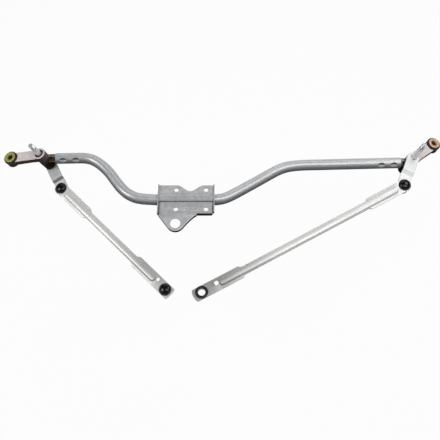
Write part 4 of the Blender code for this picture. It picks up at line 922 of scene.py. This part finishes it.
def make_barrel_fittings(pivot):
    """Seal, its washer, the circlip with its gap and ears, the thrust washer and the bearings."""
    frame_up = pivot.spindle_frame
    sign = pivot.crank_side
    side = pivot.side
    section = (RECESS_RADIUS - SPINDLE_RADIUS) / 2 - SEAT_GAP
    middle = (RECESS_RADIUS + SPINDLE_RADIUS) / 2
    depth = RECESS_DEPTH - SEAT_GAP - section
    seal = turned(side + "_ring_seal", arc((middle, pivot.recess + sign * depth), section, 0.0, 345.0, 23),
                  frame_up, edge=0.0)
    dressed(seal, FINISH.rubber, "frame", "black_rubber", side + "_shaft_seal")

    def flat_ring(name, finish, slot, replaced, inner, outer, near, thickness):
        low, high = sorted((near, near + sign * thickness))
        ring = turned(side + name, hoop(inner, outer, low, high), frame_up, edge=0.0002)
        dressed(ring, finish, "frame", slot, side + replaced)

    deep = RECESS_DEPTH - 2 * SEAT_GAP - 2 * section - WASHER_THICKNESS - SEAT_GAP
    loose = SPINDLE_RADIUS + SEAT_GAP
    flat_ring("_recess_washer", FINISH.phosphate, "bright_steel", "_seal_washer", loose,
              RECESS_RADIUS - SEAT_GAP, pivot.recess + sign * (deep + SEAT_GAP), WASHER_THICKNESS)
    shallow = pivot.recess + sign * (deep - CLIP_THICKNESS)
    low, high = sorted((shallow, shallow + sign * CLIP_THICKNESS))
    gap = math.radians(CLIP_HALF_GAP)
    angle = np.linspace(gap, 2 * math.pi - gap, 60)[:, None]
    profile = eased(hoop(CLIP_INNER, CLIP_OUTER, low, high), 0.0002)
    ear = 0.0006 * (profile[None, :, 0] > 0.006) * np.exp(-((angle - gap) / 0.2) ** 2)
    reach = profile[None, :, 0] + ear
    points = np.stack([reach * np.cos(angle), reach * np.sin(angle),
                       np.broadcast_to(profile[:, 1], reach.shape)], axis=-1)
    clip = surface(side + "_snap_ring", placed(points, frame_up), wrap_v=True, caps=True)
    dressed(clip, FINISH.phosphate, side + "_crank_arm", "spindle_steel", side + "_circlip")
    flat_ring("_crank_washer", FINISH.zinc, "bright_steel", "_thrust_washer", loose, THRUST_RADIUS,
              pivot.face + sign * SEAT_GAP, THRUST_THICKNESS)
    inner = SPINDLE_RADIUS + BEARING_PLAY
    for name, start in (("_recess_bearing", pivot.recess + sign * (RECESS_DEPTH + SEAT_GAP)),
                        ("_crank_bearing", pivot.face - sign * (SEAT_GAP + BEARING_LENGTH))):
        flat_ring(name + "_liner", FINISH.bronze, "sintered_bronze", name, inner, inner + BEARING_WALL,
                  start, BEARING_LENGTH)


RISER_START = 0.0335
RISER_LENGTH = 0.009
CRANK_EDGE = 0.0010
# Share of painted shade on the crank's hub half
HUB_SHADE = 0.35


def carried(x, section):
    """Points of sections, each an outline of Y and Z, set at places along X."""
    return np.concatenate([np.broadcast_to(x[:, None, None], section.shape[:2] + (1,)), section], axis=2)


def make_crank(pivot):
    """Forged lever: a rounded box section carried along it, as wide as the outline of two circles and
    their tangents, and stepped back by a smooth riser between hub and tip. Painted shade lies on the
    riser, and thinly on the hub's half."""
    length = pivot.crank_length
    turn = np.linspace(0.0, math.pi / 2, 18)
    x = np.concatenate([-CRANK_HUB * np.cos(turn), np.linspace(0.0, length, 70)[1:-1],
                        length + CRANK_TIP * np.sin(turn)])
    straight = CRANK_HUB + (CRANK_TIP - CRANK_HUB) * np.clip(x / length, 0.0, 1.0)
    width = np.where(x < 0, np.sqrt(np.clip(CRANK_HUB ** 2 - x ** 2, 0, None)), straight)
    width = np.where(x > length, np.sqrt(np.clip(CRANK_TIP ** 2 - (x - length) ** 2, 0, None)), width)
    drop = CRANK_STEP * np.clip((x - RISER_START) / RISER_LENGTH, 0.0, 1.0)
    soft = CRANK_STEP * smooth_step((x - RISER_START + 0.001) / (RISER_LENGTH + 0.002))
    height = pivot.hub_front - (0.4 * drop + 0.6 * soft)
    edge = np.minimum(CRANK_EDGE, width * 0.5)
    box = np.array([(-1.0, 0.0), (1.0, 0.0), (1.0, -1.0), (-1.0, -1.0)])
    section = np.empty((len(x), 4, 2))
    section[..., 0] = box[:, 0] * width[:, None]
    section[..., 1] = height[:, None] + box[:, 1] * CRANK_THICKNESS
    section = eased(section, np.repeat(edge[:, None], 4, axis=1), 5)
    # Painted shade: a band on the riser and a thin share over the hub's half
    riser = np.exp(-((x - RISER_START - 0.005) / 0.0032) ** 2)
    hub = HUB_SHADE * smooth_step((0.040 - x) / 0.008)
    crank = surface(pivot.side + "_lever", placed(carried(x, section), pivot.spindle_frame), wrap_v=True,
                    painted_shade=np.maximum(riser, hub)[:, None])
    dressed(crank, getattr(FINISH, pivot.side + "_crank"), pivot.side + "_crank_arm", "bright_steel",
            pivot.side + "_crank")


def make_ball_stud(pivot):
    """Ball pin: ball, neck, collar, shank and riveted end in one turned profile, and its seal."""
    under = -CRANK_THICKNESS - SEAT_GAP
    collar = SEAT_GAP + 0.0018
    ball = arc((0.0, BALL_HEIGHT), BALL_RADIUS, 90.0, -56.4, 24)
    ball[0, 0] = 0.0
    rivet = arc((0.0, under - 0.0004), 0.0056, 0.0, -90.0, 8) * [1.0, 0.28] + [0.0, (under - 0.0004) * 0.72]
    rivet[-1, 0] = 0.0
    profile = np.vstack([ball, [(0.0036, collar), (0.0062, collar), (0.0062, SEAT_GAP), (0.0040, SEAT_GAP),
                                (0.0040, under), (0.0056, under)], rivet])
    stud = turned(pivot.side + "_ball_pin", profile, pivot.stud_frame, 64, 0.0)
    dressed(stud, FINISH.zinc, pivot.side + "_crank_arm", "bright_steel", pivot.side + "_ball_stud")
    profile = eased(hoop(0.0065, 0.0104, SEAT_GAP, SEAT_GAP + 0.0022), [0.0003, 0.0008, 0.0005, 0.0003], 5)
    seal = turned(pivot.side + "_stud_seal", profile, pivot.stud_frame, edge=0.0)
    dressed(seal, FINISH.rubber, pivot.side + "_crank_arm", "black_rubber", pivot.side + "_dust_seal")


# ---- rods and sockets

ROD_WIDE = 0.0124
ROD_WAIST = 0.0080
ROD_HEAD = 0.0136
RIB_FOOT = 0.0071
RIB_CREST = 0.0067
RIB_HEIGHT = 0.0040
RIB_START = 0.0165
RIB_SLOPE = 0.0040
RIB_END = 0.008
RIB_WALL = 0.0014
RIB_ARCH = 0.0011
BRIM_DROOP = 0.0012
WAIST_SKIRT = 0.0030
WAIST_START = 0.080
WAIST_SHOULDER = 0.0085
WAIST_END_FROM_TIP = 0.081
WAIST_WALL = 0.0017
HEAD_BLEND = 0.0056
DRAIN = {"left": (0.0245, 0.0045, 0.0034), "right": (0.0325, -0.0030, 0.0042)}


def rod_stations(pivot, rib_end):
    """Places along a rod, closer together at its ends, its shoulders and the rib's ends."""
    corner = pivot.rod_length + pivot.end_reach - pivot.end_bulge
    turn = np.linspace(0.0, math.pi / 2, 14)
    flare = pivot.rod_length - WAIST_END_FROM_TIP - WAIST_SHOULDER
    runs = [-ROD_HEAD * np.cos(turn), np.linspace(0.0, RIB_START, 9),
            RIB_START + RIB_END * (1 - np.cos(turn)), np.linspace(RIB_START + RIB_END, WAIST_START, 12),
            np.linspace(WAIST_START, WAIST_START + WAIST_SHOULDER, 16),
            np.linspace(WAIST_START + WAIST_SHOULDER, flare, 60),
            np.linspace(flare, flare + WAIST_SHOULDER, 16),
            np.linspace(flare + WAIST_SHOULDER, rib_end - RIB_END, 12),
            rib_end - RIB_END * (1 - np.sin(turn)), np.linspace(rib_end, corner, 12),
            corner + pivot.end_bulge * np.sin(turn)]
    return np.unique(np.round(np.concatenate(runs), 7)), corner, flare


def make_rod(pivot):
    """Pressed strip: one closed section carried along the rod. The section is a hat: a rounded rib, open
    below and a little arched on top, between two brims that droop a little. The rib's half-width follows
    a half circle at its ends. The brims follow the head and the bulged tip, and are folded down to a skirt
    along the waist, where their lower outer corner carries painted shade."""
    from_tip, drain_side, drain_radius = DRAIN[pivot.side]
    length = pivot.rod_length
    rib_end = length - from_tip - drain_radius - 0.0005
    x, corner, flare = rod_stations(pivot, rib_end)
    narrow = smooth_step((x - WAIST_START) / WAIST_SHOULDER) - smooth_step((x - flare) / WAIST_SHOULDER)
    width = ROD_WIDE - (ROD_WIDE - ROD_WAIST) * narrow
    head = np.sqrt(np.clip(ROD_HEAD ** 2 - x ** 2, 0.0, None))
    width = np.where(x < HEAD_BLEND, np.maximum(head, np.where(x > 0, ROD_WIDE, 0.0)), width)
    bulge = np.clip((x - corner) / pivot.end_bulge, 0.0, 1.0)
    width = np.where(x > corner, ROD_WIDE * np.sqrt(1 - bulge ** 2), width)
    nearest_end = np.clip(np.minimum(x - RIB_START, rib_end - x) / RIB_FOOT, 0.0, 1.0)
    share = np.sqrt(1 - (1 - nearest_end) ** 2)
    foot = np.minimum(np.maximum(share * RIB_FOOT, 0.0012), width - 1e-5)
    crest = np.clip(share * RIB_FOOT - (RIB_FOOT - RIB_CREST), 0.0008, None)
    crest = np.minimum(crest, foot * 0.85)
    rise = RIB_HEIGHT * smooth_step(share * RIB_FOOT / RIB_SLOPE)
    flat = smooth_step((x - 0.012) / 0.012) * smooth_step((length - 0.020 - x) / 0.014)
    droop = BRIM_DROOP * flat * (1 - narrow) + 0.0002 * narrow
    skirt = droop + (WAIST_SKIRT - droop) * narrow
    half = SHEET / 2
    zero = np.zeros_like(x)
    inner_foot = foot * 0.94 - (foot * 0.94 - ROD_WAIST + WAIST_WALL) * narrow
    inner_crest = np.clip(crest - RIB_WALL, 0.0003, None)
    arch = RIB_ARCH * share
    right = [(zero, half + rise), (crest * 0.4, half + rise), (crest, half + rise - arch),
             (foot, zero + half), (width, half - droop),
             (width, -half - skirt), (inner_foot, -half - WAIST_SKIRT * narrow),
             (inner_crest, rise - half), (zero, rise - half)]
    corners = right + [(-y, z) for y, z in right[::-1]][1:-1]
    section = np.stack([np.stack(point, axis=-1) for point in corners], axis=1)
    reach = [0.0, 0.0022, 0.0010, 0.0010, 0.0005, 0.0005, 0.0006, 0.0012, 0.0]
    reach = reach + reach[::-1][1:-1]
    section = eased(section, np.broadcast_to(reach, section.shape[:2]), 5)
    # Painted shade on the brims' lower outer corner along the waist
    brim = np.maximum(4 * narrow * (1 - narrow), 0.6 * narrow)[:, None]
    shade_share = np.repeat([0, 0, 0, 0, 0, 1, 0, 0, 0, 0, 0, 1, 0, 0, 0, 0], 6) * brim
    rod = surface(pivot.side + "_pressed_rod", placed(carried(x, section), pivot.rod_frame), wrap_v=True,
                  painted_shade=shade_share)
    ring = arc((0.0, 0.0), 1.0, 0.0, 360.0, 32)[:-1]
    place = shifted(pivot.rod_frame, length - from_tip, drain_side)
    if pivot.side == "left":
        drills = [extruded("drain", ring * drain_radius, -0.012, 0.012, place)]
    else:
        square = eased(np.array([(-1, -1), (1, -1), (1, 1), (-1, 1)]) * 0.0040, 0.0028, 6)
        drills = [extruded("drain", square, -0.012, 0.012, place),
                  extruded("ring_hole", ring * 0.0096, -0.012, 0.012, shifted(pivot.rod_frame, length))]
    rod = combined(rod, drills, "DIFFERENCE")
    dressed(rod, getattr(FINISH, pivot.side + "_rod"), pivot.side + "_rod_arm", "bright_steel",
            pivot.side + "_link_rod")


SOCKET_RADIUS = 0.0120
SOCKET_NECK = 0.0094
SOCKET_SKIRT = 0.0108
SOCKET_FOOT = -0.0052
SOCKET_MOUTH = 0.0068
SOCKET_GRIP = SHEET / 2 + SEAT_GAP
DOME_RADIUS = 0.0112
DOME_HEIGHT = 0.0060
SOCKET_SIDE = ((SOCKET_RADIUS, SOCKET_GRIP), (SOCKET_NECK, SOCKET_GRIP), (SOCKET_NECK, -SOCKET_GRIP),
               (SOCKET_SKIRT, -SOCKET_GRIP), (SOCKET_SKIRT, SOCKET_FOOT))


def make_dome(name, matrix, body, replaced):
    """Closed socket: a low dome with a shoulder, a neck through the rod's eye and a skirt round the
    ball's cavity."""
    shoulder = SOCKET_GRIP + 0.0012
    turn = np.linspace(0.0, math.pi / 2, 22)[:-1]
    dome = np.stack([DOME_RADIUS * np.sin(turn) ** 0.9, shoulder + DOME_HEIGHT * np.cos(turn) ** 1.1],
                    axis=1)
    outside = [(DOME_RADIUS, shoulder), (SOCKET_RADIUS, SOCKET_GRIP + 0.0010), *SOCKET_SIDE,
               (0.0082, SOCKET_FOOT)]
    cavity = arc((0.0, 0.0), BALL_RADIUS + SEAT_GAP, -24.2, 90.0, 24)
    profile = np.vstack([dome, eased(outside, 0.0003, 3, closed=False), cavity])
    profile[[0, -1], 0] = 0.0
    dressed(turned(name, profile, matrix, edge=0.0), FINISH.plastic, body, "black_plastic", replaced)


def make_ring(name, matrix, body, replaced):
    """Open socket: a ring with a rounded top, a chamfered mouth and a skirt below the rod."""
    profile = [(SOCKET_MOUTH, 0.0040), (0.0080, 0.0052), (0.0110, 0.0052), (SOCKET_RADIUS, 0.0042),
               *SOCKET_SIDE, (SOCKET_MOUTH, SOCKET_FOOT)]
    edges = [0.0005, 0.0009, 0.0012, 0.0006, 0.0003, 0.0002, 0.0002, 0.0002, 0.0006, 0.0005]
    ring = turned(name, eased(profile, edges, 5), matrix, edge=0.0)
    dressed(ring, FINISH.plastic, body, "black_plastic", replaced)


# ---- stage, light and camera

FLOOR_DROP = 0.30
FLOOR_REACH = 25.0
BACKDROP_HEIGHT = 6.5
FLOOR_WHITE = 0.93
FLOOR_COLOUR = grey(0.97)
FLOOR_SCATTER = grey(0.05)
WORLD_STRENGTH = 0.10
LAMP_AIM = np.array([0.05, 0.0, 0.0])
# Lamps: name, place, width, depth and power in watts
LAMPS = (("overhead", (0.55, -0.45, 1.70), 1.6, 0.9, 15.0),
         ("back_lamp", (0.05, 1.50, 1.25), 2.0, 0.6, 6.0),
         ("left_lamp", (-1.45, -0.35, 1.40), 0.8, 0.8, 14.0),
         ("right_lamp", (1.15, 0.60, 1.65), 0.7, 0.7, 8.5))


def make_stage():
    """Pale floor well below the linkage, turned up at its far edges as a backdrop for low views: its colour
    with the linkage's shadow, mixed with plain white where it is seen or mirrored, and a darker grey to
    scattered light."""
    low = CAD_BOX[0][2] - FLOOR_DROP
    edges = np.array([-1.0 - FLOOR_REACH, -FLOOR_REACH, FLOOR_REACH, FLOOR_REACH + 1.0])
    x, y = np.meshgrid(edges, edges, indexing="ij")
    height = low + BACKDROP_HEIGHT * (np.maximum(abs(x), abs(y)) > FLOOR_REACH)
    floor = surface("floor", np.stack([x, y, height], axis=-1))
    material, tree, shader = new_material("pale_floor", 0.9, 0.0, 0.0)
    path = node(tree, "ShaderNodeLightPath").outputs
    seen = path["Is Camera Ray"]
    for kind in ("Is Glossy Ray", "Is Transmission Ray"):
        seen = node(tree, "ShaderNodeMath", {0: seen, 1: path[kind]}, operation="MAXIMUM").outputs[0]
    fed(tree, shader, {"Base Color": blended(tree, seen, FLOOR_SCATTER, FLOOR_COLOUR)})
    white = node(tree, "ShaderNodeEmission").outputs[0]
    share = node(tree, "ShaderNodeMath", {0: seen, 1: FLOOR_WHITE}, operation="MULTIPLY").outputs[0]
    mix = node(tree, "ShaderNodeMixShader", {0: share, 1: shader.outputs[0], 2: white}).outputs[0]
    fed(tree, tree.nodes["Material Output"], {"Surface": mix})
    floor.data.materials.append(material)


def make_light():
    """A wide soft lamp overhead, smaller ones behind and on each side, and an even world."""
    world = bpy.data.worlds.new("studio")
    bpy.context.scene.world = world
    world.use_nodes = True
    fed(world.node_tree, world.node_tree.nodes["Background"],
        {"Color": (1.0, 1.0, 1.0, 1.0), "Strength": WORLD_STRENGTH})
    for name, place, width, depth, power in LAMPS:
        data = bpy.data.lights.new(name, "AREA")
        data.shape = "RECTANGLE"
        data.size = width
        data.size_y = depth
        data.energy = power
        link(name, data).matrix_world = Matrix(axes(place, place - LAMP_AIM, (1.0, 0.0, 0.0)))


# The camera looks down from the photograph's place, 61 degrees above the tube's plane
CAMERA_PLACE = (0.05694, -0.65455, 1.13701)
CAMERA_TILT = 29.0
LENS = 54.545
SENSOR = 36.0


def make_camera():
    """Camera at the photograph's place."""
    data = bpy.data.cameras.new("camera")
    data.lens = LENS
    data.sensor_width = SENSOR
    camera = link("camera", data)
    camera.location = CAMERA_PLACE
    camera.rotation_euler = (math.radians(CAMERA_TILT), 0.0, 0.0)
    bpy.context.scene.camera = camera


make_frame_tube()
make_bracket()
for pivot in PIVOTS.values():
    make_housing(pivot)
    make_spindle(pivot)
    make_barrel_fittings(pivot)
    make_crank(pivot)
    make_ball_stud(pivot)
    make_rod(pivot)
    make_dome(pivot.side + "_crank_cap", pivot.rod_frame, pivot.side + "_rod_arm",
              pivot.side + "_crank_socket")
make_bush_and_sleeve(PIVOTS["left"], FINISH.yellow, "yellow_zinc")
make_bush_and_sleeve(PIVOTS["right"], FINISH.copper, "copper_zinc")
make_dome("left_end_cap", shifted(PIVOTS["left"].rod_frame, PIVOTS["left"].rod_length), "left_rod_arm",
          "left_motor_socket")
make_ring("right_end_ring", shifted(PIVOTS["right"].rod_frame, PIVOTS["right"].rod_length), "right_rod_arm",
          "right_motor_socket")
make_stage()
make_light()
make_camera()
bpy.context.scene.view_settings.view_transform = "Standard"
